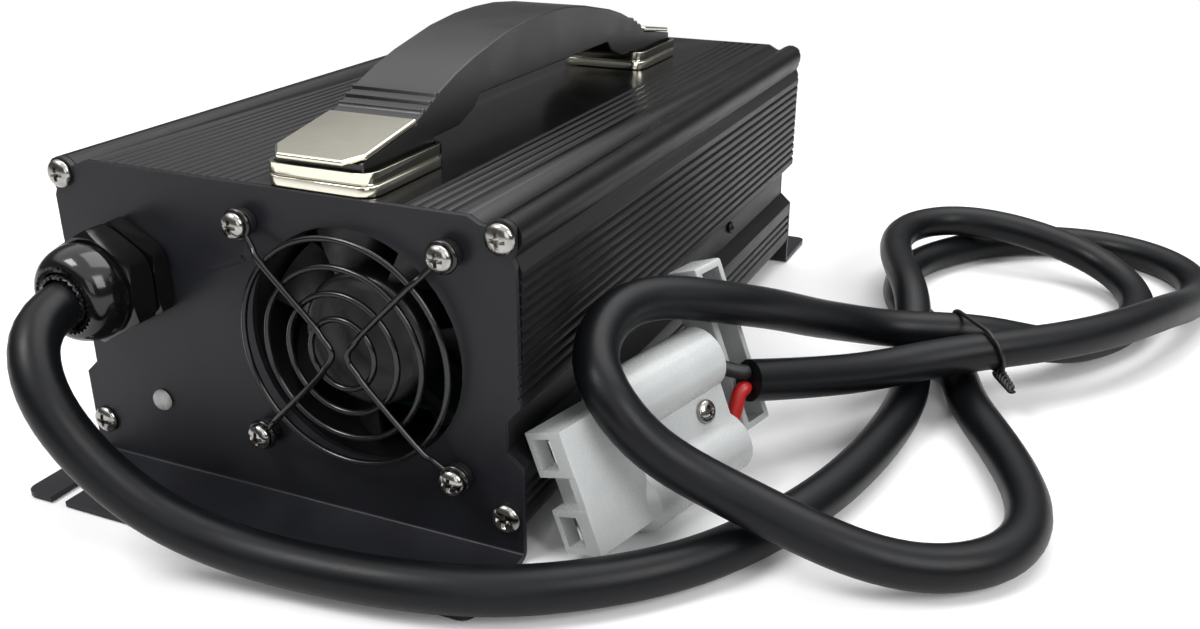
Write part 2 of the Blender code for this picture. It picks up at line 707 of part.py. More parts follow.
def build_panel(name, facing):
    """An end panel: a sheet bent outward into a slotted foot. facing is -1 at the front and 1 at the rear."""
    outer = BEND_RADIUS + SHEET
    centre = (-BEND_RADIUS, outer)
    inner_arc = arc(centre, BEND_RADIUS, -90, 0, 4)
    outer_arc = arc(centre, outer, 0, -90, 6)
    profile = [(-FOOT_DEPTH, SHEET), *inner_arc, (0.0, CASE_HEIGHT + CUT), (SHEET, CASE_HEIGHT + CUT)]
    profile += [*outer_arc, (-FOOT_DEPTH, 0.0)]
    place = facing * CASE_LENGTH / 2
    profile = [(place - facing * y, z) for y, z in profile]
    width = CASE_HALF_WIDTH - EDGE_INSET
    panel = prism(name, [profile], -CASE_HALF_WIDTH, CASE_HALF_WIDTH, "case_enamel", axis="X")
    span = sorted((place + facing * (FOOT_DEPTH + CUT), place - facing * (SHEET + CUT)))
    combine(panel, prism(name + "_elevation", [panel_outline()], *span), "INTERSECT")
    foot = place + facing * FOOT_DEPTH
    back = place - facing * (SHEET + CUT)
    plan = [(width, back), (-width, back)]
    left = arc((-width + FOOT_CORNER, foot - facing * FOOT_CORNER), FOOT_CORNER, 180, 180 - 90 * facing, 5)
    plan += left + [(-x, y) for x, y in reversed(left)]
    combine(panel, prism(name + "_plan", [plan], -CUT, CASE_HEIGHT + 2 * CUT, axis="Z"), "INTERSECT")
    for side in (1, -1):
        x = side * FOOT_SLOT_X
        half = FOOT_SLOT_WIDTH / 2
        end = foot - facing * (FOOT_SLOT_DEPTH - half)
        slot = [(x + half, foot + facing * CUT), (x + half, end)]
        slot += arc((x, end), half, 0, -180 * facing, 7)[1:]
        slot.append((x - half, foot + facing * CUT))
        combine(panel, prism(f"{name}_slot_{side}", [slot], -CUT, SHEET + CUT, axis="Z"))
    for index, (x, z) in enumerate(corner_bores()):
        bore_hole(panel, f"{name}_corner_{index}", x, z, place, PANEL_SCREW[0] + HOLE_CLEARANCE, 12)
        end = "front" if facing < 0 else "rear"
        height = "upper" if index % 2 == 0 else "lower"
        hand = "right" if x > 0 else "left"
        seat = (x, place + facing * GAP, z)
        screw_name = f"{end}_screw_{height}_{hand}"
        add_screw(screw_name, seat, (0, facing, 0), PANEL_SCREW, PANEL_SCREW_REACH, "bright_steel")
    return panel


def bore_hole(panel, name, x, z, y, radius, sides):
    """Cut a round hole along Y through a sheet at y."""
    reach = SHEET + CUT
    combine(panel, add_cylinder(name, (x, y - reach, z), (x, y + reach, z), radius, sides=sides))


def fan_screw_places():
    """The four fixing points of the fan, named."""
    half = FAN_HOLE_SPACING / 2
    return [
        (f"{height}_{hand}", FAN_X + sx * half, FAN_Z + sz * half)
        for height, sz in (("upper", 1), ("lower", -1))
        for hand, sx in (("left", -1), ("right", 1))
    ]


def build_front_panel():
    """Front panel with the openings for fan, gland and lamp."""
    panel = build_panel("front_panel", -1)
    y = depth(0)
    bore_hole(panel, "fan_hole", FAN_X, FAN_Z, y, FAN_BORE_RADIUS, 48)
    for name, x, z in fan_screw_places():
        bore_hole(panel, f"fan_fixing_{name}", x, z, y, FAN_SCREW[0] + HOLE_CLEARANCE, 12)
    bore_hole(panel, "gland_hole", GLAND_X, GLAND_Z, y, GLAND_THREAD_RADIUS + HOLE_CLEARANCE, 32)
    bore_hole(panel, "lamp_hole", LAMP_X, LAMP_Z, y, LAMP_STEM_RADIUS + HOLE_CLEARANCE, 16)
    dimple = add_cylinder(
        "dimple", (DIMPLE_X, y - CUT, DIMPLE_Z), (DIMPLE_X, y + DIMPLE_DEPTH, DIMPLE_Z), DIMPLE_RADIUS,
        end_radius=DIMPLE_RADIUS / 2, sides=12,
    )
    combine(panel, dimple)
    return panel


def build_rear_panel():
    """Rear panel with outlet slots for the air and an opening for the mains inlet."""
    panel = build_panel("rear_panel", 1)
    y = depth(CASE_LENGTH)
    for index in range(VENT_COUNT):
        x = VENT_X + (index - (VENT_COUNT - 1) / 2) * VENT_PITCH
        outline = rounded_rectangle((x, VENT_Z), VENT_WIDTH, VENT_HEIGHT, VENT_WIDTH / 2 - GAP / 3, 3)
        combine(panel, prism(f"vent_{index}", [outline], y - SHEET - CUT, y + CUT))
    opening = rounded_rectangle(
        (INLET_X, INLET_Z), INLET_WIDTH + 2 * INLET_WALL + 2 * HOLE_CLEARANCE,
        INLET_HEIGHT + 2 * INLET_WALL + 2 * HOLE_CLEARANCE, INLET_WALL,
    )
    combine(panel, prism("inlet_opening", [opening], y - SHEET - CUT, y + CUT))
    for side in (1, -1):
        x = INLET_X + side * INLET_SCREW_SPACING / 2
        bore_hole(panel, f"inlet_fixing_{side}", x, INLET_Z, y, INLET_SCREW[0] + HOLE_CLEARANCE, 12)
    return panel


def build_fan():
    """Fan frame, turning impeller, its screws and the spacers under the guard's ears."""
    start = depth(SHEET + GAP)
    end = start + FAN_DEPTH
    outlines = [
        rounded_rectangle((FAN_X, FAN_Z), FAN_SIZE, FAN_SIZE, FAN_CORNER),
        arc((FAN_X, FAN_Z), FAN_BORE_RADIUS, 0, 360 - 360 / 48, 48),
    ]
    outlines += [arc((x, z), FAN_SCREW[0] + HOLE_CLEARANCE, 0, 330, 12) for _, x, z in fan_screw_places()]
    frame = prism("fan_frame", outlines, start, end, "fan_black")
    plate = end - FAN_BACK_PLATE
    for index in range(4):
        angle = math.radians(STRUT_ANGLE + 90 * index)
        strut = add_box(
            f"strut_{index}", (FAN_HUB_RADIUS / 2, -FAN_BACK_PLATE / 2, -FAN_STRUT / 2),
            (FAN_BORE_RADIUS + CUT / 2, FAN_BACK_PLATE / 2 - GAP, FAN_STRUT / 2),
        )
        strut.location = (FAN_X, plate + FAN_BACK_PLATE / 2, FAN_Z)
        strut.rotation_euler = (0, angle, 0)
        combine(frame, strut, "UNION", "MANIFOLD")
    shaft_end = FAN_DEPTH - 2.4 * FAN_FRONT_CLEARANCE
    base = FAN_HUB_RADIUS - FAN_SHAFT_RADIUS
    hub = add_turned(
        "motor_base",
        (
            (0.0, shaft_end), (FAN_SHAFT_RADIUS, shaft_end - FAN_SHAFT_RADIUS / 3),
            (FAN_SHAFT_RADIUS, FAN_BACK_PLATE), (base, FAN_BACK_PLATE), (base, 0.0), (0.0, 0.0),
        ),
        steps=32,
    )
    combine(frame, aim(hub, (FAN_X, end, FAN_Z), (0, -1, 0)), "UNION", "MANIFOLD")
    build_impeller(start, end)
    for name, x, z in fan_screw_places():
        seat = (x, depth(-GUARD_EAR_OUT - WIRE_RADIUS - GAP), z)
        reach = GUARD_EAR_OUT + WIRE_RADIUS + GAP + SHEET + FAN_DEPTH - CUT
        add_screw(f"fan_screw_{name}", seat, (0, -1, 0), FAN_SCREW, reach, "bright_steel")
        inner = FAN_SCREW[0] + HOLE_CLEARANCE
        spacer = add_turned(
            f"fan_spacer_{name}",
            (
                (inner, SPACER_HEIGHT), (SPACER_RADIUS, SPACER_HEIGHT), (SPACER_RADIUS, 0.0), (inner, 0.0),
                (inner, SPACER_HEIGHT),
            ),
            "rubber_black",
        )
        aim(spacer, (x, depth(-GAP), z), (0, -1, 0))


def build_impeller(start, end):
    """Hub and pitched blades, turning about the fan's axis."""
    axis = bpy.data.objects.new("impeller_axis", None)
    PIECES.objects.link(axis)
    axis.location = (FAN_X, (start + end) / 2, FAN_Z)
    axis.rotation_euler = (math.pi / 2, 0, 0)
    front = (end - start) / 2 - FAN_FRONT_CLEARANCE
    back = -(end - start) / 2 + FAN_BACK_PLATE + FAN_BACK_CLEARANCE
    bore = FAN_SHAFT_RADIUS + FAN_SHAFT_CLEARANCE
    web = 1.2 * FAN_FRONT_CLEARANCE
    round_off = FAN_SHAFT_RADIUS
    impeller = add_turned(
        "fan_impeller",
        (
            (0.0, front), (FAN_HUB_RADIUS - round_off, front), (FAN_HUB_RADIUS, front - round_off),
            (FAN_HUB_RADIUS, back), (bore, back), (bore, front - web), (0.0, front - web),
        ),
        "fan_black", steps=32, parent=axis,
    )
    root = FAN_HUB_RADIUS - FAN_BLADE_THICKNESS
    span = FAN_TIP_RADIUS - root
    root_pitch, tip_pitch = FAN_PITCH
    for index in range(FAN_BLADES):
        bm = bmesh.new()
        bmesh.ops.create_grid(bm, x_segments=3, y_segments=1, size=0.5)
        for vert in bm.verts:
            along = vert.co.x + 0.5
            pitch = math.radians(root_pitch + (tip_pitch - root_pitch) * along)
            chord = vert.co.y * FAN_CHORD * (FAN_ROOT_CHORD + (1 - FAN_ROOT_CHORD) * along)
            vert.co = (root + along * span, chord * math.cos(pitch), chord * math.sin(pitch))
        bmesh.ops.solidify(bm, geom=bm.faces[:], thickness=FAN_BLADE_THICKNESS)
        blade = add_bmesh(f"blade_{index}", bm, parent=axis)
        blade.rotation_euler = (0, 0, 2 * math.pi * index / FAN_BLADES)
        combine(impeller, blade, "UNION")
    rim = add_turned(
        "tip_circle",
        ((0.0, FAN_DEPTH), (FAN_TIP_RADIUS, FAN_DEPTH), (FAN_TIP_RADIUS, -FAN_DEPTH), (0.0, -FAN_DEPTH)),
        steps=64, parent=axis,
    )
    combine(impeller, rim, "INTERSECT")


def guard_arm(side):
    """One bent wire of the guard: from the upper screw round near the centre and out to the lower screw."""
    reach = FAN_HOLE_SPACING / math.sqrt(2)
    neck = reach - GUARD_EAR_RADIUS + WIRE_RADIUS / 2
    rise = (GUARD_RING_RADIUS + neck) / 2
    halfway = (GUARD_EAR_OUT + GUARD_ARM_OUT) / 2
    radii = ((neck, GUARD_EAR_OUT), (rise, halfway), (GUARD_RING_RADIUS, GUARD_ARM_OUT))
    straight = [(radius / math.sqrt(2), radius / math.sqrt(2), out) for radius, out in radii]
    bend = GUARD_BEND / math.sqrt(2)
    turn = [(bend, bend), (0.55 * bend + 0.3 * GUARD_APEX, 0.55 * bend), (1.25 * GUARD_APEX, 0.25 * bend)]
    upper = straight + [(across, up, GUARD_ARM_OUT) for across, up in turn]
    lower = [(across, -up, out) for across, up, out in reversed(upper)]
    line = upper + [(GUARD_APEX, 0.0, GUARD_ARM_OUT)] + lower
    return [(FAN_X + side * across, depth(-out), FAN_Z + up) for across, up, out in line]


def build_guard():
    """Wire finger guard: rings on two bent wires, whose ends carry an ear round each screw."""
    guard = None
    for index, ratio in enumerate(GUARD_RATIOS):
        steps = 20 + 4 * (len(GUARD_RATIOS) - index)
        name = "fan_guard" if index == 0 else f"guard_ring_{index}"
        finish = "satin_black" if index == 0 else None
        ring = add_turned(name, ring_profile(GUARD_RING_RADIUS * ratio), finish, steps=steps)
        aim(ring, (FAN_X, depth(-GUARD_RING_OUT), FAN_Z), (0, -1, 0))
        if index == 0:
            guard = ring
        else:
            combine(guard, ring, "UNION", "MANIFOLD")
    for side, hand in ((-1, "left"), (1, "right")):
        combine(guard, solid_tube(f"guard_arm_{hand}", guard_arm(side), WIRE_RADIUS), "UNION", "MANIFOLD")
    for name, x, z in fan_screw_places():
        ear = add_turned(f"guard_ear_{name}", ring_profile(GUARD_EAR_RADIUS), steps=16)
        aim(ear, (x, depth(-GUARD_EAR_OUT), z), (0, -1, 0))
        combine(guard, ear, "UNION", "MANIFOLD")


def ring_profile(radius):
    """Section of a wire ring, read round its outer side first."""
    section = arc((radius, 0.0), WIRE_RADIUS, 90, -270, 7)
    return section[:-1] + [section[0]]


def add_gland_part(name, profile, finish=None):
    """A turned shape on the gland's axis, its heights measured outward from the panel's face."""
    turned = add_turned(name, profile, finish, steps=32)
    return aim(turned, (GLAND_X, depth(0), GLAND_Z), (0, -1, 0))


def rod(radius, end, start):
    """Profile of a plain rod between two distances."""
    return [(0.0, end), (radius, end), (radius, start), (0.0, start)]


def build_gland():
    """Cable gland: body through the panel, locknut behind it, domed cap and soft seal."""
    centre = (GLAND_X, GLAND_Z)
    face = depth(-GAP)
    body = prism("gland_body", [hexagon(centre, GLAND_FLATS)], face - GLAND_BODY_HEX, face, "gland_black")
    inside = SHEET + GLAND_NUT + GLAND_THREAD_END
    combine(body, add_gland_part("gland_thread", rod(GLAND_THREAD_RADIUS, GLAND_NECK_END, -inside)), "UNION")
    bore = rod(GLAND_SEAL_RADIUS + GAP, GLAND_NECK_END + CUT, -inside - CUT)
    combine(body, add_gland_part("gland_bore", bore))
    low = depth(SHEET + GAP)
    outlines = [hexagon(centre, GLAND_FLATS), arc(centre, GLAND_THREAD_RADIUS + GAP, 0, 348.75, 32)]
    prism("gland_locknut", outlines, low, low + GLAND_NUT, "gland_black")
    near, far = depth(-GLAND_CAP_HEX_END), depth(-GLAND_CAP_START)
    cap = prism("gland_cap", [hexagon(centre, GLAND_FLATS)], near, far, "gland_black")
    combine(cap, add_gland_part("gland_dome", dome_profile()), "UNION")
    thread = GLAND_THREAD_RADIUS + GAP
    hollow = [(0.0, GLAND_CAP_END + CUT), (GLAND_MOUTH_RADIUS, GLAND_CAP_END + CUT)]
    hollow += [(GLAND_MOUTH_RADIUS, GLAND_NECK_END + GLAND_THREAD_END), (thread, GLAND_NECK_END + GAP)]
    hollow += [(thread, 0.0), (0.0, 0.0)]
    combine(cap, add_gland_part("gland_hollow", hollow))
    inner = LEAD_DIAMETER / 2 + HOLE_CLEARANCE
    seal = [
        (inner, GLAND_SEAL_OUT), (GLAND_SEAL_RADIUS, GLAND_SEAL_OUT), (GLAND_SEAL_RADIUS, GLAND_SEAL_INNER),
        (inner, GLAND_SEAL_INNER), (inner, GLAND_SEAL_OUT),
    ]
    add_gland_part("gland_seal", seal, "rubber_black")


def dome_profile():
    """Profile of the cap's dome, from its mouth back to its hexagon."""
    outer = GLAND_FLATS / 2 - GLAND_DOME_INSET
    lip = GLAND_MOUTH_RADIUS + 2 * GLAND_DOME_INSET
    straight = GLAND_CAP_HEX_END + GLAND_THREAD_END / 2
    curve = [
        (lip + (outer - lip) * math.sin(turn), straight + (GLAND_CAP_END - straight) * math.cos(turn))
        for turn in (math.radians(18 * step) for step in range(6))
    ]
    return [(0.0, GLAND_CAP_END), *curve, (outer, GLAND_CAP_HEX_END - CUT), (0.0, GLAND_CAP_HEX_END - CUT)]


def build_lamp():
    """Indicator lamp: a domed lens on a stem through the panel."""
    profile = (
        (0.0, LAMP_HEIGHT), (LAMP_RADIUS * 0.6, LAMP_HEIGHT * 0.83), (LAMP_RADIUS * 0.92, LAMP_HEIGHT * 0.46),
        (LAMP_RADIUS, 0.0), (LAMP_STEM_RADIUS, 0.0), (LAMP_STEM_RADIUS, -LAMP_STEM), (0.0, -LAMP_STEM),
    )
    aim(add_turned("lamp_lens", profile, "lamp_clear"), (LAMP_X, depth(-GAP), LAMP_Z), (0, -1, 0))


def handle_screw_places():
    """Four screws from inside the case up into the grip's two feet."""
    places = []
    for end in (1, -1):
        distance = HANDLE_MIDDLE - end * (HANDLE_MIDDLE - HANDLE_SCREW_DEPTH)
        for side in (-1, 1):
            places.append((HANDLE_X + side * HANDLE_SCREW_X, depth(distance)))
    return places


def mirror_depth(distance):
    """The matching distance at the other end of the handle."""
    return 2 * HANDLE_MIDDLE - distance


def cap_top(distance):
    """Height above the case of a cap plate's sloping top."""
    return CAP_LOW + (CAP_HIGH - CAP_LOW) * (distance - CAP_FRONT) / CAP_LENGTH


def grip_outline():
    """Side view of the grip: feet, arched top with cross ribs, flat underside."""
    base = CASE_HEIGHT
    cap_end = CAP_FRONT + CAP_LENGTH + GAP
    sink = CAP_THICKNESS + GAP
    front = TRAY_FRONT + TRAY_WALL + GAP
    foot = base + GAP + TRAY_WALL + GAP
    tray_end = TRAY_FRONT + TRAY_LENGTH - TRAY_WALL - GAP
    top = [(y, base + z) for y, z in GRIP_TOP]
    start_y, start_z = top[0]
    slope = (top[1][1] - start_z) / (top[1][0] - start_y)
    half = [
        (front, foot), (front, base + cap_top(front) - sink), (cap_end, base + cap_top(cap_end) - sink),
        (cap_end, start_z),
    ]
    for index in range(GRIP_RIB_COUNT):
        y = GRIP_RIB_FIRST + GRIP_RIB_PITCH * index
        z = start_z + slope * (y - start_y)
        for along, up in ((-1.0, 0.0), (-0.6, 1.0), (0.6, 1.0), (1.0, 0.0)):
            half.append((y + along * GRIP_RIB, z + (up + slope * along) * GRIP_RIB))
    half += top[1:]
    under = [(y, base + z) for y, z in GRIP_UNDER]
    under = [(tray_end, foot), (tray_end, under[0][1]), *under[1:]]
    outline = half + [(mirror_depth(y), z) for y, z in reversed(half[:-1])]
    outline += [(mirror_depth(y), z) for y, z in under]
    outline += [(y, z) for y, z in reversed(under)]
    return [(depth(y), z) for y, z in outline]


def build_handle():
    """Carry handle: grip between two trays, with a cap plate over each foot."""
    half = GRIP_WIDTH / 2
    grip = prism("handle_grip", [grip_outline()], HANDLE_X - half, HANDLE_X + half, "satin_black", axis="X")
    bevel = grip.modifiers.new("soft_edges", "BEVEL")
    bevel.width = GRIP_BEVEL
    bevel.segments = 1
    bevel.limit_method = "ANGLE"
    bevel.angle_limit = math.radians(50)
    hole = HANDLE_SCREW[0] + HOLE_CLEARANCE
    under_top = CASE_HEIGHT - WALL - GAP
    rise = HANDLE_SCREW_REACH
    for index, (x, y) in enumerate(handle_screw_places()):
        low, high = (x, y, CASE_HEIGHT), (x, y, under_top + rise + CUT)
        combine(grip, add_cylinder(f"foot_hole_{index}", low, high, hole, sides=12))
        end = "front" if index < 2 else "rear"
        hand = "right" if index % 2 else "left"
        add_screw(
            f"handle_screw_{end}_{hand}", (x, y, under_top), (0, 0, -1), HANDLE_SCREW, rise, "dark_steel"
        )
    for end, name in ((1, "front"), (-1, "rear")):
        build_handle_end(name, end)


def build_handle_end(name, end):
    """Tray and cap plate at one end of the handle. end is 1 at the front and -1 at the rear."""
    def place(distance):
        return depth(distance if end > 0 else mirror_depth(distance))

    centre = (HANDLE_X, place(TRAY_FRONT + TRAY_LENGTH / 2))
    low = CASE_HEIGHT + GAP
    outline = rounded_rectangle(centre, TRAY_WIDTH, TRAY_LENGTH, TRAY_CORNER)
    tray = prism(f"handle_tray_{name}", [outline], low, low + TRAY_HEIGHT, "nickel", axis="Z")
    inner = rounded_rectangle(
        centre, TRAY_WIDTH - 2 * TRAY_WALL, TRAY_LENGTH - 2 * TRAY_WALL, TRAY_CORNER - TRAY_WALL
    )
    combine(tray, prism(f"tray_hollow_{name}", [inner], low + TRAY_WALL, low + TRAY_HEIGHT + CUT, axis="Z"))
    hole = HANDLE_SCREW[0] + HOLE_CLEARANCE
    for index, (x, y) in enumerate(handle_screw_places()):
        if (index < 2) == (end > 0):
            start, stop = (x, y, low - CUT), (x, y, low + TRAY_WALL + CUT)
            combine(tray, add_cylinder(f"tray_hole_{index}", start, stop, hole, sides=12))
    cap_end = CAP_FRONT + CAP_LENGTH
    profile = [
        (CAP_FRONT, CAP_LOW - CAP_THICKNESS), (CAP_FRONT, CAP_LOW), (cap_end, CAP_HIGH),
        (cap_end, CAP_HIGH - CAP_THICKNESS),
    ]
    side = [(place(y), CASE_HEIGHT + z) for y, z in profile]
    half = CAP_WIDTH / 2
    cap = prism(f"handle_cap_{name}", [side], HANDLE_X - half, HANDLE_X + half, "nickel", axis="X")
    across, along = CAP_CORNER
    plan = [(half, cap_end), (half, CAP_FRONT + along), (half - across, CAP_FRONT)]
    plan = [(HANDLE_X + x, place(y)) for x, y in plan + mirrored(plan)]
    over = CASE_HEIGHT + CAP_HIGH + CUT
    combine(cap, prism(f"cap_plan_{name}", [plan], CASE_HEIGHT, over, axis="Z"), "INTERSECT")


def build_inlet():
    """Mains inlet socket in the rear panel, with three pins."""
    centre = (INLET_X, INLET_Z)
    face = depth(CASE_LENGTH) + GAP
    width, height, thickness = INLET_FLANGE
    flange = rounded_rectangle(centre, width, height, thickness)
    body = prism("power_inlet", [flange], face, face + thickness, "satin_black")
    shell = rounded_rectangle(centre, INLET_WIDTH + 2 * INLET_WALL, INLET_HEIGHT + 2 * INLET_WALL, INLET_WALL)
    back = face - INLET_DEPTH
    combine(body, prism("inlet_shell", [shell], back, face + thickness / 2), "UNION")
    socket = rounded_rectangle(centre, INLET_WIDTH, INLET_HEIGHT, thickness)
    combine(body, prism("inlet_socket", [socket], back + INLET_BOTTOM, face + thickness + CUT))
    half_x, half_z = INLET_PIN
    for index, (dx, dz) in enumerate(INLET_PINS):
        x, z = INLET_X + dx, INLET_Z + dz
        low = (x - half_x, back + INLET_BOTTOM / 2, z - half_z)
        high = (x + half_x, face - thickness, z + half_z)
        combine(body, add_box(f"inlet_pin_{index}", low, high), "UNION")
    for side, name in ((1, "right"), (-1, "left")):
        x = INLET_X + side * INLET_SCREW_SPACING / 2
        low, high = (x, face - CUT, INLET_Z), (x, face + thickness + CUT, INLET_Z)
        hole = INLET_SCREW[0] + HOLE_CLEARANCE
        combine(body, add_cylinder(f"inlet_hole_{name}", low, high, hole, sides=12))
        seat = (x, face + thickness + GAP, INLET_Z)
        add_screw(f"inlet_screw_{name}", seat, (0, 1, 0), INLET_SCREW, INLET_SCREW_REACH, "bright_steel")


def build_inside():
    """Circuit board on standoffs with the charger's main parts on it."""
    floor = SKIRT + WALL + GAP
    low = floor + STANDOFF_HEIGHT + GAP
    start, end = depth(BOARD_START), depth(BOARD_START + BOARD_LENGTH)
    half = BOARD_WIDTH / 2
    add_box("circuit_board", (-half, start, low), (half, end, low + BOARD_THICKNESS), "board_green")
    places = [(side * (half - STANDOFF_INSET), y) for y in (start + STANDOFF_INSET, end - STANDOFF_INSET)
              for side in (-1, 1)]
    for index, (x, y) in enumerate(places):
        foot, top = (x, y, floor), (x, y, floor + STANDOFF_HEIGHT)
        add_cylinder(f"board_standoff_{index + 1}", foot, top, STANDOFF_RADIUS, "bright_steel", sides=12)
    top = low + BOARD_THICKNESS + GAP
    build_transformer(top)
    for index, (x, y) in enumerate(CAN_CENTRES):
        profile = (
            (0.0, CAN_HEIGHT), (CAN_RADIUS - CAN_ROUND, CAN_HEIGHT), (CAN_RADIUS, CAN_HEIGHT - CAN_ROUND),
            (CAN_RADIUS, 0.0), (0.0, 0.0),
        )
        can = add_turned(f"capacitor_{index + 1}", profile, "can_blue", steps=20)
        can.location = (x, depth(y), top)
    for index, x in enumerate(HEATSINK_X):
        build_heatsink(index, x, top)


def build_transformer(top):
    """Laminated core with its winding standing out at both ends."""
    size = Vector(CORE_SIZE)
    middle = Vector((CORE_CENTRE[0], depth(CORE_CENTRE[1]), top + size.z / 2))
    core = add_box("transformer", middle - size / 2, middle + size / 2, "core_grey")
    half = size / 2 - Vector(WINDING_MARGIN)
    winding = add_box("transformer_winding", middle - half, middle + half, bevel=-WINDING_MARGIN[1] / 2)
    combine(core, winding, "UNION")


def build_heatsink(index, x, top):
    """Upright plate with fins along one side."""
    start, end = (depth(y) for y in HEATSINK_SPAN)
    low, high = (x, start, top), (x + HEATSINK_THICKNESS, end, top + HEATSINK_HEIGHT)
    plate = add_box(f"heatsink_{index + 1}", low, high, "mill_aluminium")
    for row in range(FIN_COUNT):
        z = top + FIN_PITCH * (row + 0.9)
        low = (x + HEATSINK_THICKNESS / 2, start + CUT, z)
        high = (x + HEATSINK_THICKNESS + FIN_REACH, end - CUT, z + FIN_THICKNESS)
        combine(plate, add_box(f"fin_{index}_{row}", low, high), "UNION")


def strands_at(line, centre, heading):
    """Where the upper strands cross the upright plane that a tie lies in, and the way each one runs there."""
    middle = np.array(centre)
    normal = np.array((math.cos(heading), math.sin(heading), 0.0))
    found = []
    for start, end in zip(np.array(line), np.array(line[1:])):
        before, after = (start - middle) @ normal, (end - middle) @ normal
        if before * after > 0:
            continue
        place = start + (end - start) * before / (before - after)
        if np.linalg.norm(place - middle) < 1.2 * LEAD_DIAMETER:
            found.append(Vector(place))
    return found


def build_lead():
    """The output lead from the gland round its loops, and the tie that holds two of its strands."""
    route = [(x, depth(y), z) for x, y, z in LEAD_ROUTE]
    line = smooth_line(route, LEAD_POINTS, LEAD_BEND_WEIGHT)
    tube("output_cable", line, LEAD_DIAMETER / 2, "rubber_black")
    first, second = strands_at(line, (TIE_CENTRE[0], depth(TIE_CENTRE[1]), TIE_CENTRE[2]), TIE_HEADING)
    across = second - first
    inner = LEAD_DIAMETER / 2 + TIE_CLEARANCE
    outer = inner + TIE_THICKNESS

    def stadium(radius):
        right = arc((across.length / 2, 0.0), radius, -90, 90, 9)
        return right + [(-x, z) for x, z in reversed(right)]

    band = prism("cable_tie", [stadium(outer), stadium(inner)], -TIE_WIDTH / 2, TIE_WIDTH / 2, "dark_steel")
    band.location = (first + second) / 2
    tilt = math.asin(across.z / across.length)
    band.rotation_euler = (0, -tilt, math.atan2(across.y, across.x))
    return route[-1]


def connector_axes():
    """The empty that carries the connector: its mouth's upper corner, turned as it lies."""
    axes = bpy.data.objects.new("connector_axes", None)
    PIECES.objects.link(axes)
    x, y, z = CONNECTOR_CORNER
    axes.location = (x, depth(y), z)
    axes.rotation_euler = CONNECTOR_TURN
    return axes


def barrel_heights():
    """Heights of the two barrels' axes in the connector's own axes."""
    width = NOSE_PITCH + NOSE_WIDTH
    return (-BARREL_INSET, BARREL_INSET - width)


def build_connector(lead_end):
    """Two-pole connector with flat contacts, a carrying bar and the two jacketed conductors."""
    axes = connector_axes()
    thick = CONNECTOR_THICKNESS
    width = NOSE_PITCH + NOSE_WIDTH
    body = add_box(
        "connector_housing", (0.0, NOTCH_LENGTH, -width), (thick, FACE_LENGTH, 0.0), "connector_grey", axes
    )
    face = add_box(
        "face_plate", (thick - FACE_PLATE, 0.0, -width), (thick, NOTCH_LENGTH + CUT, 0.0), parent=axes
    )
    combine(body, face, "UNION")
    noses = [(0.0, -NOSE_WIDTH), (-NOSE_PITCH, -width)]
    for index, (top, bottom) in enumerate(noses):
        low, high = (0.0, -NOSE_PROUD, bottom), (thick, NOTCH_LENGTH + CUT, top)
        combine(body, add_box(f"nose_{index}", low, high, parent=axes), "UNION")
    upper, lower = barrel_heights()
    low, high = (0.0, FACE_LENGTH - CUT, lower), (VALLEY_THICKNESS, HOUSING_LENGTH, upper)
    combine(body, add_box("valley", low, high, parent=axes), "UNION")
    rounded = CONNECTOR_ROUND
    for index, z in enumerate((upper, lower)):
        profile = (
            (0.0, HOUSING_LENGTH + rounded), (BARREL_RADIUS - rounded, HOUSING_LENGTH + rounded),
            (BARREL_RADIUS, HOUSING_LENGTH), (BARREL_RADIUS, FACE_LENGTH),
            (BARREL_RADIUS - 3 * rounded, FACE_LENGTH - 3 * rounded), (0.0, FACE_LENGTH - 3 * rounded),
        )
        combine(body, add_barrel_shape(f"barrel_{index}", profile, z, axes), "UNION")
    for index, z in enumerate((upper, lower)):
        opening = rod(WIRE_OPENING_RADIUS, HOUSING_LENGTH + CUT, HOUSING_LENGTH - WIRE_OPENING_DEPTH)
        combine(body, add_barrel_shape(f"wire_opening_{index}", opening, z, axes))
    for index, (top, bottom) in enumerate(noses):
        build_contact(body, axes, index, top, bottom)
    build_bar(body, axes)
    build_conductors(axes, lead_end)
    return body


def add_barrel_shape(name, profile, z, axes):
    """A turned shape along a barrel's axis, its heights measured rearward from the connector's mouth."""
    shape = add_turned(name, profile, steps=24, parent=axes)
    shape.location = (CONNECTOR_THICKNESS / 2, 0.0, z)
    shape.rotation_euler = (-math.pi / 2, 0, 0)
    return shape


def build_contact(body, axes, index, top, bottom):
    """One pole: the socket in its nose, and the flat contact that stands in a pocket at the socket's end."""
    low = (SOCKET_WALL, -CUT, bottom + SOCKET_WALL)
    high = (CONNECTOR_THICKNESS - SOCKET_FACE_WALL, SOCKET_DEPTH, top - SOCKET_WALL)
    combine(body, add_box(f"socket_{index}", low, high, parent=axes))
    middle = (low[0] + high[0]) / 2
    half = CONTACT_THICKNESS / 2
    start, end = low[2] + CONTACT_MARGIN, high[2] - CONTACT_MARGIN
    stop = SOCKET_DEPTH + CONTACT_SEAT
    pocket = add_box(
        f"contact_pocket_{index}", (middle - half - GAP, SOCKET_DEPTH - CUT, start - GAP),
        (middle + half + GAP, stop + GAP, end + GAP), parent=axes,
    )
    combine(body, pocket)
    name = "connector_contact_lower" if index else "connector_contact_upper"
    add_box(
        name, (middle - half, CONTACT_SETBACK, start), (middle + half, stop, end), "silver_contact", axes,
        bevel=CONTACT_THICKNESS / 5,
    )


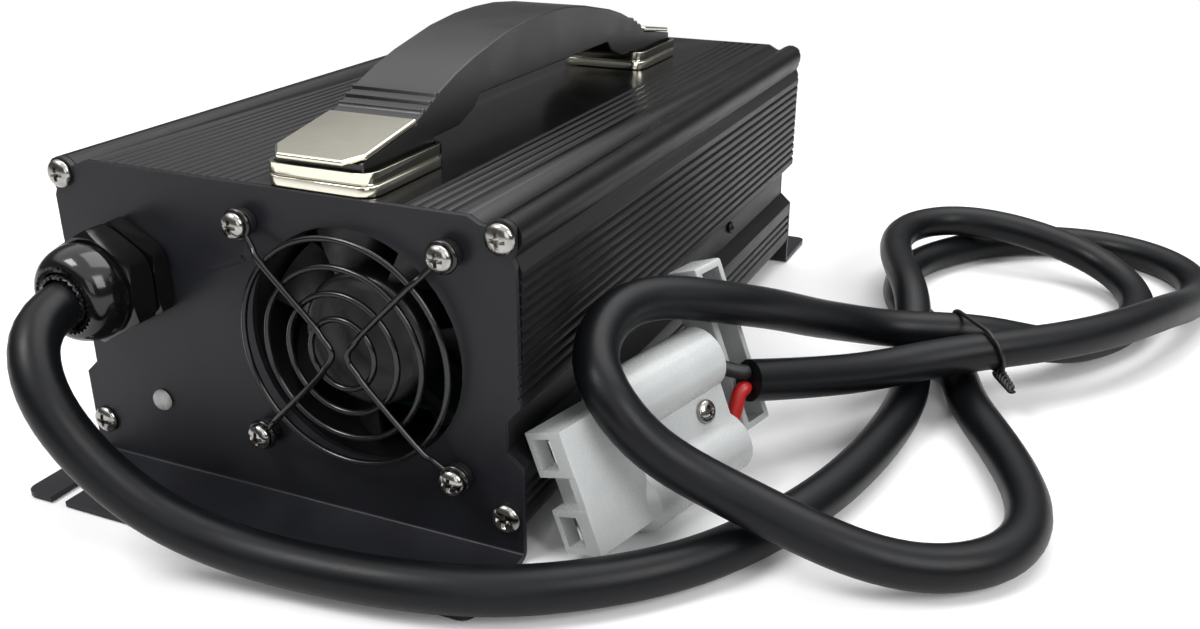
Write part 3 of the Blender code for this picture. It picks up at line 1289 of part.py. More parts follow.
def build_bar(body, axes):
    """Channel-shaped carrying bar, whose tongue is screwed under the housing's valley."""
    middle = sum(barrel_heights()) / 2
    high = -GAP
    low = high - TONGUE_THICKNESS
    corner, opposite = (BAR_BACK, BAR_START, BAR_LOW), (BAR_BACK + BAR_SIZE, BAR_START + BAR_SIZE, BAR_HIGH)
    bar = add_box("connector_bar", corner, opposite, "connector_grey", axes, bevel=CONNECTOR_ROUND)
    channel = add_box(
        "bar_channel", (BAR_BACK + BAR_WALL, BAR_START + BAR_WALL, BAR_LOW + BAR_WALL),
        (BAR_BACK + BAR_SIZE + CUT, BAR_START + BAR_SIZE - BAR_WALL, BAR_HIGH - BAR_WALL), parent=axes,
    )
    combine(bar, channel)
    end = BAR_START + BAR_WALL / 2
    corner, opposite = (low, TONGUE_START, middle - TONGUE_HALF), (high, end, middle + TONGUE_HALF)
    combine(bar, add_box("bar_tongue", corner, opposite, parent=axes), "UNION")
    seat = (VALLEY_THICKNESS + GAP, TONGUE_START + CONNECTOR_SCREW_INSET, middle)
    start, stop = (low - CUT, seat[1], middle), (VALLEY_THICKNESS + CUT, seat[1], middle)
    bore = CONNECTOR_SCREW[0] + HOLE_CLEARANCE
    for target in (bar, body):
        combine(target, add_cylinder(f"screw_hole_{target.name}", start, stop, bore, parent=axes, sides=12))
    reach = VALLEY_THICKNESS + GAP - low
    add_screw("connector_screw", seat, (1, 0, 0), CONNECTOR_SCREW, reach, "bright_steel", axes)


def build_conductors(axes, lead_end):
    """Black and red conductors from the end of the sheath into the connector's two barrels."""
    bpy.context.view_layer.update()
    to_local = axes.matrix_world.inverted()
    before, end = (to_local @ Vector((x, depth(y), z)) for x, y, z in LEAD_ROUTE[-2:])
    heading = (end - before).normalized()
    sideways = Vector((0, 0, 1)) - heading * heading.z
    sideways.normalize()
    spread = CONDUCTOR_RADIUS + GAP
    centre = CONNECTOR_THICKNESS / 2
    upper, lower = barrel_heights()
    for name, finish, z, side in (
        ("conductor_black", "rubber_black", upper, 1),
        ("conductor_red", "red_jacket", lower, -1),
    ):
        first = end + heading * 4 * GAP + sideways * side * spread
        second = first + heading * CONDUCTOR_RADIUS
        mouth = z - side * (WIRE_OPENING_RADIUS - CONDUCTOR_RADIUS - 4 * GAP)
        path = [
            tuple(first), tuple(second),
            (centre + CONDUCTOR_RADIUS / 2, HOUSING_LENGTH + CONDUCTOR_RADIUS, mouth),
            (centre, HOUSING_LENGTH - CONDUCTOR_RADIUS, mouth),
            (centre, HOUSING_LENGTH - WIRE_OPENING_DEPTH + CONNECTOR_ROUND, z),
        ]
        tube(name, smooth_line(path, 16), CONDUCTOR_RADIUS, finish, axes)


def main():
    """Build every piece of the charger."""
    build_case()
    build_front_panel()
    build_rear_panel()
    build_fan()
    build_guard()
    build_gland()
    build_lamp()
    build_handle()
    build_inlet()
    build_inside()
    lead_end = build_lead()
    build_connector(lead_end)


main()
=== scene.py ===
"""Looks for the battery charger: finishes, fine shapes, cable and studio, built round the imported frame."""

import json
import logging
import math
from collections.abc import Iterable, Sequence
from dataclasses import dataclass, field
from enum import Enum

import bmesh
import bpy
import numpy as np
from mathutils import Euler, Matrix, Vector

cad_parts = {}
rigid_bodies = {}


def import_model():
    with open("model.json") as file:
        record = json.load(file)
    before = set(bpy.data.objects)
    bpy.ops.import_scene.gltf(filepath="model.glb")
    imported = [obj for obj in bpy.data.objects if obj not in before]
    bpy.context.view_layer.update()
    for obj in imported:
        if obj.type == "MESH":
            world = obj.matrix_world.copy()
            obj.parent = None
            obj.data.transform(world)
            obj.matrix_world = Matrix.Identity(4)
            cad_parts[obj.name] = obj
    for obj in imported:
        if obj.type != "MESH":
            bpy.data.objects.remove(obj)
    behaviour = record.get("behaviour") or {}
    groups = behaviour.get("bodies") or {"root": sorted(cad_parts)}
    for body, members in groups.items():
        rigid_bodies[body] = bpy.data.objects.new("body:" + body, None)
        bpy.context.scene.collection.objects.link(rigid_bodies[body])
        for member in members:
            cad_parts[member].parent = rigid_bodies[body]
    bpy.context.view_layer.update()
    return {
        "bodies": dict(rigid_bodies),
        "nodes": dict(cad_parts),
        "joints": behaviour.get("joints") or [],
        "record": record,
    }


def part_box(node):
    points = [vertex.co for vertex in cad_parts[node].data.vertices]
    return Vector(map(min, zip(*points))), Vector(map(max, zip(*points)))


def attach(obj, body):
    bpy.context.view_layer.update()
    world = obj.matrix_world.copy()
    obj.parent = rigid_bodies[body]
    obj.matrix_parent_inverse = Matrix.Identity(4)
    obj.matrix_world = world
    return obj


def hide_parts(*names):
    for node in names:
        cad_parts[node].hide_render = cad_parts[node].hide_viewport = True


log = logging.getLogger("charger")

Point = tuple[float, float, float]
Colour = tuple[float, float, float]
Span = tuple[float, float]

CASE_LENGTH = 0.289
ROOT = "charger"
IMPELLER = "impeller"
WELD = 0.000001
FORWARD = (0.0, -1.0, 0.0)
REARWARD = (0.0, 1.0, 0.0)
CORNERS = ("upper_left", "upper_right", "lower_left", "lower_right")
FLAT_ANGLE = math.radians(0.6)
NOISE_SPAN = (0.3, 0.7)
FACING_UP = (0.80, 0.99)
WHITE = (1.0, 1.0, 1.0)


def depth(distance: float) -> float:
    """Return the world Y of a distance behind the front panel's outer face."""
    return distance - CASE_LENGTH / 2


class Axis(Enum):
    """World axis that a surface's grain runs along, with its noise stretch."""

    NONE = (1.0, 1.0, 1.0)
    X = (0.06, 1.0, 1.0)
    Y = (1.0, 0.04, 1.0)


class Operation(Enum):
    """Ways to combine two closed shapes."""

    CUT = "DIFFERENCE"
    JOIN = "UNION"
    KEEP = "INTERSECT"


# Finishes


class NodeSketch:
    """Small helper for writing the node tree of a material or of the surroundings."""

    def __init__(self, owner: bpy.types.Material | bpy.types.World) -> None:
        """Start on a new material or world.

        Args:
            owner: The material or world.
        """
        owner.use_nodes = True
        self.owner = owner
        self.tree = owner.node_tree
        self.shader = self.tree.nodes.get("Principled BSDF")

    def add(self, kind: str, **values: object) -> bpy.types.Node:
        """Add a node.

        Args:
            kind: Type of the node.
            values: Attributes to set on it.

        Returns:
            The new node.
        """
        node = self.tree.nodes.new(kind)
        for key, value in values.items():
            setattr(node, key, value)
        return node

    def link(self, source: bpy.types.NodeSocket, target: bpy.types.NodeSocket) -> None:
        """Join an output to an input."""
        self.tree.links.new(source, target)

    def position(self, stretch: Point = (1.0, 1.0, 1.0)) -> bpy.types.NodeSocket:
        """Return the object's own coordinates, stretched.

        Args:
            stretch: Scale of each axis.

        Returns:
            The vector socket.
        """
        coordinates = self.add("ShaderNodeTexCoord")
        mapping = self.add("ShaderNodeMapping")
        mapping.inputs["Scale"].default_value = stretch
        self.link(coordinates.outputs["Object"], mapping.inputs["Vector"])
        return mapping.outputs["Vector"]

    def noise(self, place: bpy.types.NodeSocket, scale: float, detail: float) -> bpy.types.NodeSocket:
        """Return a noise value.

        Args:
            place: Vector to read the noise at.
            scale: Scale of the noise, in repeats a metre.
            detail: Octaves.

        Returns:
            The value socket.
        """
        node = self.add("ShaderNodeTexNoise")
        node.inputs["Scale"].default_value = scale
        node.inputs["Detail"].default_value = detail
        self.link(place, node.inputs["Vector"])
        return node.outputs["Fac"]

    def ramp(
        self, value: bpy.types.NodeSocket, given: Span, result: Span, curve: str = "LINEAR"
    ) -> bpy.types.NodeSocket:
        """Return a value mapped from one span to another.

        Args:
            value: The value.
            given: Its low and high end.
            result: What they become.
            curve: How it goes from one to the other.

        Returns:
            The mapped socket.
        """
        node = self.add("ShaderNodeMapRange", interpolation_type=curve)
        for name, limit in zip(("From Min", "From Max", "To Min", "To Max"), (*given, *result)):
            node.inputs[name].default_value = limit
        self.link(value, node.inputs["Value"])
        return node.outputs["Result"]

    def maths(
        self, operation: str, first: bpy.types.NodeSocket, second: bpy.types.NodeSocket
    ) -> bpy.types.NodeSocket:
        """Return two values combined.

        Args:
            operation: What is done with them.
            first: The first value.
            second: The second value.

        Returns:
            The value socket.
        """
        node = self.add("ShaderNodeMath", operation=operation)
        self.link(first, node.inputs[0])
        self.link(second, node.inputs[1])
        return node.outputs[0]

    def mix_shaders(
        self, share: bpy.types.NodeSocket, first: bpy.types.NodeSocket, second: bpy.types.NodeSocket
    ) -> bpy.types.NodeSocket:
        """Return a mix of two shaders.

        Args:
            share: Share of the second shader.
            first: Shader at share 0.
            second: Shader at share 1.

        Returns:
            The shader socket.
        """
        node = self.add("ShaderNodeMixShader")
        for source, target in zip((share, first, second), node.inputs):
            self.link(source, target)
        return node.outputs[0]

    def blend(self, share: bpy.types.NodeSocket, first: Colour, second: Colour) -> bpy.types.NodeSocket:
        """Return a mix of two colours.

        Args:
            share: Share of the second colour.
            first: Colour at share 0.
            second: Colour at share 1.

        Returns:
            The colour socket.
        """
        node = self.add("ShaderNodeMix", data_type="RGBA")
        node.inputs[6].default_value = (*first, 1.0)
        node.inputs[7].default_value = (*second, 1.0)
        self.link(share, node.inputs[0])
        return node.outputs[2]

    def bump(self, height: bpy.types.NodeSocket, distance: float) -> bpy.types.NodeSocket:
        """Return a normal bent by a height.

        Args:
            height: Height value.
            distance: Height of a value of 1, in metres.

        Returns:
            The normal socket.
        """
        node = self.add("ShaderNodeBump")
        node.inputs["Distance"].default_value = distance
        node.inputs["Strength"].default_value = 1.0
        self.link(height, node.inputs["Height"])
        return node.outputs["Normal"]


def scaled(colour: Colour, factor: float) -> Colour:
    """Return a linear colour made lighter or darker."""
    red, green, blue = (min(1.0, part * factor) for part in colour)
    return red, green, blue


@dataclass(frozen=True)
class Finish:
    """A surface: its colour, gloss and the fine grain that both vary with."""

    slot: str
    colour: Colour
    roughness: float
    metallic: float = 0.0
    tint: float = 0.25
    blotch: float = 60.0
    grain: float = 2600.0
    grain_depth: float = 0.00002
    along: Axis = Axis.NONE
    sheen_change: float = 0.08
    specular: float = 0.5
    side_roughness: float = 0.0

    def material(self, name: str) -> bpy.types.Material:
        """Write the node tree.

        Args:
            name: Name of the material.

        Returns:
            The finished material.
        """
        sketch = NodeSketch(bpy.data.materials.new(name))
        cloud = sketch.noise(sketch.position(), self.blotch, 4.0)
        fine = sketch.noise(sketch.position(self.along.value), self.grain, 2.0)
        dark, light = (scaled(self.colour, 1.0 + change) for change in (-self.tint, self.tint))
        colour = sketch.blend(sketch.ramp(cloud, NOISE_SPAN, (0.0, 1.0)), dark, light)
        sketch.link(colour, sketch.shader.inputs["Base Color"])
        base = sketch.ramp(cloud, NOISE_SPAN, (self.roughness - self.sheen_change, self.roughness))
        roughness = sketch.maths("ADD", base, sketch.ramp(fine, NOISE_SPAN, (0.0, self.sheen_change)))
        if self.side_roughness:
            roughness = self.rougher_sides(sketch, roughness)
        sketch.link(roughness, sketch.shader.inputs["Roughness"])
        sketch.shader.inputs["Metallic"].default_value = self.metallic
        sketch.shader.inputs["Specular IOR Level"].default_value = self.specular
        sketch.link(sketch.bump(fine, self.grain_depth), sketch.shader.inputs["Normal"])
        return sketch.owner

    def rougher_sides(self, sketch: NodeSketch, roughness: bpy.types.NodeSocket) -> bpy.types.NodeSocket:
        """Add roughness wherever a surface doesn't face up, because the case's sides are duller than its top.

        Args:
            sketch: The material's node tree.
            roughness: The roughness so far.

        Returns:
            The new roughness.
        """
        surface = sketch.add("ShaderNodeNewGeometry")
        parts = sketch.add("ShaderNodeSeparateXYZ")
        sketch.link(surface.outputs["Normal"], parts.inputs[0])
        added = sketch.ramp(parts.outputs["Z"], FACING_UP, (self.side_roughness, 0.0))
        return sketch.maths("ADD", roughness, added)


class Finishes:
    """Every finish of the charger, each made into a material once."""

    ENAMEL = Finish(
        "case_enamel", (0.0115, 0.0119, 0.0150), 0.38, tint=0.15, grain=3200.0, grain_depth=0.000018,
        specular=0.24,
    )
    EXTRUSION = Finish(
        "case_enamel", (0.0036, 0.0037, 0.0044), 0.20, tint=0.2, grain=1500.0, grain_depth=0.000010,
        along=Axis.Y, specular=0.24, sheen_change=0.05, side_roughness=0.20,
    )
    SCREW = Finish(
        "bright_steel", (0.36, 0.35, 0.33), 0.16, 1.0, tint=0.2, blotch=500.0, grain=4000.0,
        grain_depth=0.000008, sheen_change=0.06,
    )
    # Painted shade: near black and dull, it stands in for the shade inside a screw's cross recess.
    RECESS_PAINTED_SHADE = Finish("bright_steel", (0.008, 0.008, 0.008), 0.55, tint=0.3, blotch=400.0, specular=0.2)
    DARK = Finish("dark_steel", (0.012, 0.012, 0.012), 0.35, 0.3, tint=0.3, blotch=300.0)
    NICKEL = Finish(
        "nickel", (0.80, 0.775, 0.65), 0.13, 1.0, tint=0.05, blotch=40.0, grain=1800.0,
        grain_depth=0.000004, along=Axis.X, sheen_change=0.05,
    )
    GRIP = Finish(
        "satin_black", (0.0030, 0.0030, 0.0033), 0.33, tint=0.2, grain=2400.0, grain_depth=0.00002,
        specular=0.6,
    )
    FAN = Finish("fan_black", (0.0050, 0.0050, 0.0054), 0.34, tint=0.2, grain=1800.0, specular=0.5)
    WIRE = Finish(
        "satin_black", (0.0035, 0.0035, 0.0038), 0.20, tint=0.2, blotch=200.0, grain_depth=0.000006,
        sheen_change=0.05,
    )
    JACKET = Finish(
        "rubber_black", (0.0030, 0.0034, 0.0044), 0.38, tint=0.25, blotch=35.0, grain=1600.0,
        grain_depth=0.00002, specular=0.20,
    )
    SOFT = Finish(
        "rubber_black", (0.0060, 0.0060, 0.0060), 0.50, tint=0.25, grain=2000.0, grain_depth=0.00003,
    )
    GLAND = Finish(
        "gland_black", (0.0032, 0.0032, 0.0036), 0.13, tint=0.2, blotch=120.0, grain=1500.0,
        grain_depth=0.000006, sheen_change=0.04,
    )
    LENS = Finish(
        "lamp_clear", (0.40, 0.40, 0.39), 0.16, tint=0.2, blotch=400.0, grain_depth=0.000005,
        sheen_change=0.04,
    )
    HOUSING = Finish(
        "connector_grey", (0.47, 0.485, 0.485), 0.26, tint=0.04, blotch=50.0, grain=2200.0,
        grain_depth=0.00002,
    )
    CONTACT = Finish("silver_contact", (0.66, 0.65, 0.62), 0.22, 1.0, tint=0.15, blotch=250.0, grain=3000.0)
    RED = Finish("red_jacket", (0.42, 0.012, 0.010), 0.36, tint=0.2, blotch=150.0)
    BOARD = Finish("board_green", (0.012, 0.09, 0.035), 0.45, tint=0.25, blotch=150.0)
    CORE = Finish("core_grey", (0.06, 0.06, 0.06), 0.6, tint=0.2)
    CAN = Finish("can_blue", (0.02, 0.03, 0.12), 0.35, tint=0.2)
    MILL = Finish("mill_aluminium", (0.55, 0.56, 0.57), 0.32, 1.0, tint=0.1, along=Axis.Y)

    def __init__(self) -> None:
        """Start with no material made."""
        self.made: dict[Finish, bpy.types.Material] = {}

    def material(self, finish: Finish) -> bpy.types.Material:
        """Return a finish's material, made on first use.

        Args:
            finish: The finish.

        Returns:
            Its material.
        """
        if finish not in self.made:
            self.made[finish] = finish.material(f"{finish.slot}_{len(self.made)}")
        return self.made[finish]


# Shared building


def quarter(steps: int) -> list[tuple[float, float]]:
    """Return the sine and cosine at each even step of a quarter turn."""
    angles = [math.radians(90 * index / steps) for index in range(steps + 1)]
    return [(math.sin(angle), math.cos(angle)) for angle in angles]


def corners(node: str) -> tuple[Vector, Vector]:
    """Return the lowest and the highest corner of a node's box."""
    low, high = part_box(node)
    return Vector(low), Vector(high)


def bare_object(name: str, data: bpy.types.ID) -> bpy.types.Object:
    """Put a mesh, curve, lamp or camera in the scene.

    Args:
        name: Name of the object.
        data: What it shows.

    Returns:
        The object.
    """
    item = bpy.data.objects.new(name, data)
    bpy.context.scene.collection.objects.link(item)
    return item


@dataclass
class Workshop:
    """What every sub-assembly builds with: the frame's nodes and the finishes."""

    frame: dict
    finishes: Finishes = field(default_factory=Finishes)

    def add(
        self, name: str, shape: bmesh.types.BMesh, finish: Finish, replaces: Iterable[str] = (),
        body: str = ROOT, sharp: float = 35.0, inlay: Finish | None = None,
    ) -> bpy.types.Object:
        """Make a piece from a bmesh, dress it and let it ride on a body.

        Args:
            name: Name of the piece.
            shape: Its shape in the row frame, freed here.
            finish: Its finish.
            replaces: Nodes that it stands for.
            body: Body that it moves with.
            sharp: Angle above which an edge stays crisp, in degrees.
            inlay: Finish of the faces with material index 1: the painted shade inside screw recesses.

        Returns:
            The piece.
        """
        bmesh.ops.recalc_face_normals(shape, faces=shape.faces)
        mesh = bpy.data.meshes.new(name)
        shape.to_mesh(mesh)
        shape.free()
        mesh.shade_smooth()
        mesh.set_sharp_from_angle(angle=math.radians(sharp))
        return self.settle(bare_object(name, mesh), finish, replaces, body, inlay)

    def settle(
        self, piece: bpy.types.Object, finish: Finish, replaces: Iterable[str] = (), body: str = ROOT,
        inlay: Finish | None = None,
    ) -> bpy.types.Object:
        """Dress a piece and let it ride on a body.

        Args:
            piece: The piece, in place.
            finish: Its finish.
            replaces: Nodes that it stands for.
            body: Body that it moves with.
            inlay: Finish of the faces with material index 1: the painted shade inside screw recesses.

        Returns:
            The piece.
        """
        piece.data.materials.clear()
        for applied in (finish, inlay):
            if applied:
                piece.data.materials.append(self.finishes.material(applied))
        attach(piece, body)
        names = list(replaces)
        if names:
            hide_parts(*names)
        log.info("made %s for %s", piece.name, ", ".join(names) or "looks")
        return piece

    def node_shape(self, node: str) -> bmesh.types.BMesh:
        """Return a merged copy of a node's mesh with flat areas made one face.

        Args:
            node: Name of the node.

        Returns:
            The copy.
        """
        shape = bmesh.new()
        shape.from_mesh(self.frame["nodes"][node].data)
        bmesh.ops.remove_doubles(shape, verts=shape.verts, dist=2 * WELD)
        bmesh.ops.dissolve_limit(
            shape, angle_limit=FLAT_ANGLE, verts=shape.verts, edges=shape.edges, delimit={"NORMAL"}
        )
        return shape

    def refine(
        self, node: str, finish: Finish, bevel: float, segments: int = 2, sharp: float = 32.0
    ) -> bpy.types.Object:
        """Stand a copy with softened edges in for a node whose shape is right.

        Args:
            node: Name of the node.
            finish: Its finish.
            bevel: Width of the softened edges.
            segments: Faces across a softened edge.
            sharp: Angle above which an edge is softened, in degrees.

        Returns:
            The copy.
        """
        piece = self.add(f"{node}_finished", self.node_shape(node), finish, [node], sharp=sharp)
        return self.soften(piece, bevel, segments, sharp)

    def soften(self, piece: bpy.types.Object, bevel: float, segments: int, sharp: float) -> bpy.types.Object:
        """Round a piece's edges.

        Args:
            piece: The piece.
            bevel: Width of the softened edges.
            segments: Faces across a softened edge.
            sharp: Angle above which an edge is softened, in degrees.

        Returns:
            The piece.
        """
        rounding = piece.modifiers.new("softened_edges", "BEVEL")
        rounding.width = bevel
        rounding.segments = segments
        rounding.limit_method = "ANGLE"
        rounding.angle_limit = math.radians(sharp)
        rounding.harden_normals = True
        rounding.use_clamp_overlap = True
        return piece


def turned(
    profile: Sequence[tuple[float, float]], steps: int, place: Matrix | None = None
) -> bmesh.types.BMesh:
    """Spin a profile of (radius, height) about Z.

    Args:
        profile: Points from one end to the other.
        steps: Faces round the shape.
        place: Where the turned shape goes.

    Returns:
        The shape.
    """
    shape = bmesh.new()
    verts = [shape.verts.new((radius, 0.0, height)) for radius, height in profile]
    edges = [shape.edges.new(pair) for pair in zip(verts, verts[1:])]
    bmesh.ops.spin(
        shape, geom=verts + edges, axis=(0, 0, 1), cent=(0, 0, 0), angle=2 * math.pi, steps=steps,
        use_merge=True,
    )
    bmesh.ops.remove_doubles(shape, verts=shape.verts, dist=WELD)
    if place is not None:
        bmesh.ops.transform(shape, matrix=place, verts=shape.verts)
    return shape


def block(low: Point, high: Point) -> bmesh.types.BMesh:
    """Make a box between two corners.

    Args:
        low: Lowest corner.
        high: Highest corner.

    Returns:
        The box.
    """
    shape = bmesh.new()
    bmesh.ops.create_cube(shape, size=1.0)
    bmesh.ops.scale(shape, vec=Vector(high) - Vector(low), verts=shape.verts)
    bmesh.ops.translate(shape, vec=(Vector(low) + Vector(high)) / 2, verts=shape.verts)
    return shape


def combined(shape: bmesh.types.BMesh, tool: bmesh.types.BMesh, operation: Operation) -> bmesh.types.BMesh:
    """Join, cut or intersect two closed shapes.

    Args:
        shape: The shape that is worked on, freed here.
        tool: The shape that it is combined with, freed here.
        operation: What is done.

    Returns:
        The result.
    """
    pair = []
    for role, part in (("shape", shape), ("tool", tool)):
        bmesh.ops.recalc_face_normals(part, faces=part.faces)
        mesh = bpy.data.meshes.new(role)
        part.to_mesh(mesh)
        part.free()
        pair.append(bare_object(role, mesh))
    target, cutter = pair
    modifier = target.modifiers.new("combine", "BOOLEAN")
    modifier.operation = operation.value
    modifier.solver = "EXACT"
    modifier.object = cutter
    bpy.context.view_layer.update()
    result = bpy.data.meshes.new_from_object(target.evaluated_get(bpy.context.evaluated_depsgraph_get()))
    joined = bmesh.new()
    joined.from_mesh(result)
    for mesh in (result, *(item.data for item in pair)):
        bpy.data.meshes.remove(mesh)
    bmesh.ops.remove_doubles(joined, verts=joined.verts, dist=WELD)
    return joined


def aimed(origin: Point, direction: Point) -> Matrix:
    """Return the matrix that stands a shape's +Z along a direction from an origin."""
    return Matrix.Translation(origin) @ Vector(direction).to_track_quat("Z", "Y").to_matrix().to_4x4()


def circle(centre: Point, radius: float, count: int) -> list[Point]:
    """Return evenly spaced points on an upright circle that faces forward.

    Args:
        centre: Its centre.
        radius: Its radius.
        count: Number of points.

    Returns:
        The points.
    """
    x, y, z = centre
    angles = [2 * math.pi * index / count for index in range(count)]
    return [(x + radius * math.cos(angle), y, z + radius * math.sin(angle)) for angle in angles]


def smooth_line(route: Sequence[Sequence[float]], count: int) -> list[Point]:
    """Return evenly spaced points on a smooth curve through a route.

    Args:
        route: Points that the curve goes through.
        count: Number of points wanted.

    Returns:
        The points.
    """
    points = np.array(route, float)
    padded = np.vstack([2 * points[0] - points[1], points, 2 * points[-1] - points[-2]])
    dense = []
    for before, start, end, after in zip(padded, padded[1:], padded[2:], padded[3:]):
        for t in np.linspace(0.0, 1.0, 16, endpoint=False):
            slope = (end - before) * t
            bend = (2 * before - 5 * start + 4 * end - after) * t**2
            twist = (3 * start - before - 3 * end + after) * t**3
            dense.append(0.5 * (2 * start + slope + bend + twist))
    line = np.array(dense + [points[-1]])
    travelled = np.concatenate([[0.0], np.cumsum(np.linalg.norm(np.diff(line, axis=0), axis=1))])
    wanted = np.linspace(0.0, travelled[-1], count)
    columns = [np.interp(wanted, travelled, line[:, axis]) for axis in range(3)]
    return [tuple(float(value) for value in row) for row in zip(*columns)]


def eased(line: list[Point], passes: int) -> list[Point]:
    """Return a line with its small kinks smoothed out, its ends kept.

    Args:
        line: Evenly spaced points.
        passes: Rounds of smoothing.

    Returns:
        The smoothed points.
    """
    points = np.array(line)
    for _ in range(passes):
        points[2:-2] = 0.5 * points[2:-2] + 0.25 * (points[1:-3] + points[3:-1])
    return [tuple(float(value) for value in row) for row in points]


def tube_curve(
    name: str, lines: Sequence[Sequence[Point]], radius: float, detail: int,
    rings: Sequence[Sequence[Point]] = (),
) -> bpy.types.Object:
    """Make round bars along lines and closed rings, as one curve.

    Args:
        name: Name of the object.
        lines: Centrelines of the open bars.
        radius: Their radius.
        detail: Bevel resolution, which sets the faces round them.
        rings: Centrelines of the closed bars.

    Returns:
        The curve object.
    """
    curve = bpy.data.curves.new(name, "CURVE")
    curve.dimensions = "3D"
    curve.bevel_depth = radius
    curve.bevel_resolution = detail
    curve.use_fill_caps = True
    for closed, group in ((False, lines), (True, rings)):
        for line in group:
            spline = curve.splines.new("POLY")
            spline.points.add(len(line) - 1)
            for point, place in zip(spline.points, line):
                point.co = (*place, 1.0)
            spline.use_smooth = True
            spline.use_cyclic_u = closed
    return bare_object(name, curve)


# Camera, floor and light


@dataclass(frozen=True)
class SoftBox:
    """A square lamp with a soft edge."""

    name: str
    place: Point
    size: float
    power: float
    target: Point = (0.05, 0.0, 0.05)

    def hang(self) -> None:
        """Hang the lamp so that it faces the charger."""
        data = bpy.data.lights.new(self.name, "AREA")
        data.shape = "SQUARE"
        data.size = self.size
        data.energy = self.power
        lamp = bare_object(self.name, data)
        lamp.matrix_world = aimed(self.place, Vector(self.place) - Vector(self.target))


@dataclass
class Studio:
    """Camera at the photograph's place, pale floor and soft boxes."""

    camera: Point = (0.23305, -0.41680, 0.21108)
    right: Point = (0.91265533, 0.4087252, -0.00199013)
    down: Point = (0.15635688, -0.35362462, -0.92222674)
    forward: Point = (-0.37764107, 0.84136397, -0.38664439)
    lens: float = 35.9316
    floor: float = -0.0004
    sweep: float = 4.0
    paper: float = 0.86
    fade: Span = (0.40, 0.80)
    fill: float = 0.5
    sky: Span = (0.14, 1.45)
    sky_rise: Span = (0.42, 0.62)
    boxes: Sequence[SoftBox] = (
        SoftBox("key", (-0.42, -0.62, 1.05), 0.45, 7.5),
        SoftBox("top", (0.20, 0.45, 1.35), 1.1, 12.0),
        SoftBox("side", (1.15, -0.45, 0.85), 0.7, 9.0),
        SoftBox("front", (0.55, -1.25, 0.45), 0.6, 2.0),
    )

    def build(self) -> None:
        """Place the camera, the floor and the lights."""
        self.aim_camera()
        self.lay_floor()
        for box in self.boxes:
            box.hang()
        self.surround()
        bpy.context.scene.view_settings.view_transform = "Standard"

    def aim_camera(self) -> None:
        """Stand the camera where the photograph was taken."""
        data = bpy.data.cameras.new("camera")
        data.lens = self.lens
        data.sensor_width = 36.0
        data.clip_start = 0.01
        camera = bare_object("camera", data)
        turn = Matrix((self.right, -Vector(self.down), -Vector(self.forward))).transposed().to_4x4()
        camera.matrix_world = Matrix.Translation(self.camera) @ turn
        bpy.context.scene.camera = camera

    def lay_floor(self) -> None:
        """Lay a pale paper floor that takes a soft shadow."""
        shape = bmesh.new()
        bmesh.ops.create_grid(shape, x_segments=1, y_segments=1, size=self.sweep)
        bmesh.ops.translate(shape, vec=(0, 0, self.floor), verts=shape.verts)
        mesh = bpy.data.meshes.new("floor")
        shape.to_mesh(mesh)
        shape.free()
        floor = bare_object("floor", mesh)
        mesh.materials.append(self.paper_material())

    def paper_material(self) -> bpy.types.Material:
        """Return the paper: pale near the charger, and to the camera white further off."""
        sketch = NodeSketch(bpy.data.materials.new("floor_paper"))
        seen = sketch.add("ShaderNodeLightPath").outputs["Is Camera Ray"]
        pale = (self.paper, self.paper, self.paper)
        sketch.link(sketch.blend(seen, pale, WHITE), sketch.shader.inputs["Base Color"])
        sketch.shader.inputs["Roughness"].default_value = 0.9
        sketch.shader.inputs["Specular IOR Level"].default_value = 0.1
        reach = sketch.add("ShaderNodeVectorMath", operation="LENGTH")
        sketch.link(sketch.position(), reach.inputs[0])
        far = sketch.ramp(reach.outputs["Value"], self.fade, (0.0, 1.0), "SMOOTHSTEP")
        white = sketch.add("ShaderNodeEmission").outputs[0]
        shown = sketch.mix_shaders(sketch.maths("MULTIPLY", far, seen), sketch.shader.outputs[0], white)
        sketch.link(shown, sketch.tree.nodes["Material Output"].inputs["Surface"])
        return sketch.owner

    def surround(self) -> None:
        """Set the surroundings: white behind, an even fill, and a sky that glossy surfaces see."""
        world = bpy.data.worlds.new("surroundings")
        bpy.context.scene.world = world
        sketch = NodeSketch(world)
        fill = sketch.tree.nodes["Background"]
        fill.inputs["Strength"].default_value = self.fill
        white = sketch.add("ShaderNodeBackground")
        sky = sketch.add("ShaderNodeBackground")
        for light in (fill, white, sky):
            light.inputs["Color"].default_value = (*WHITE, 1.0)
        parts = sketch.add("ShaderNodeSeparateXYZ")
        sketch.link(sketch.add("ShaderNodeTexCoord").outputs["Generated"], parts.inputs[0])
        sketch.link(sketch.ramp(parts.outputs["Z"], self.sky_rise, self.sky), sky.inputs["Strength"])
        path = sketch.add("ShaderNodeLightPath")
        mirrored = sketch.mix_shaders(path.outputs["Is Glossy Ray"], fill.outputs[0], sky.outputs[0])
        seen = sketch.mix_shaders(path.outputs["Is Camera Ray"], mirrored, white.outputs[0])
        sketch.link(seen, sketch.tree.nodes["World Output"].inputs["Surface"])


# Output lead


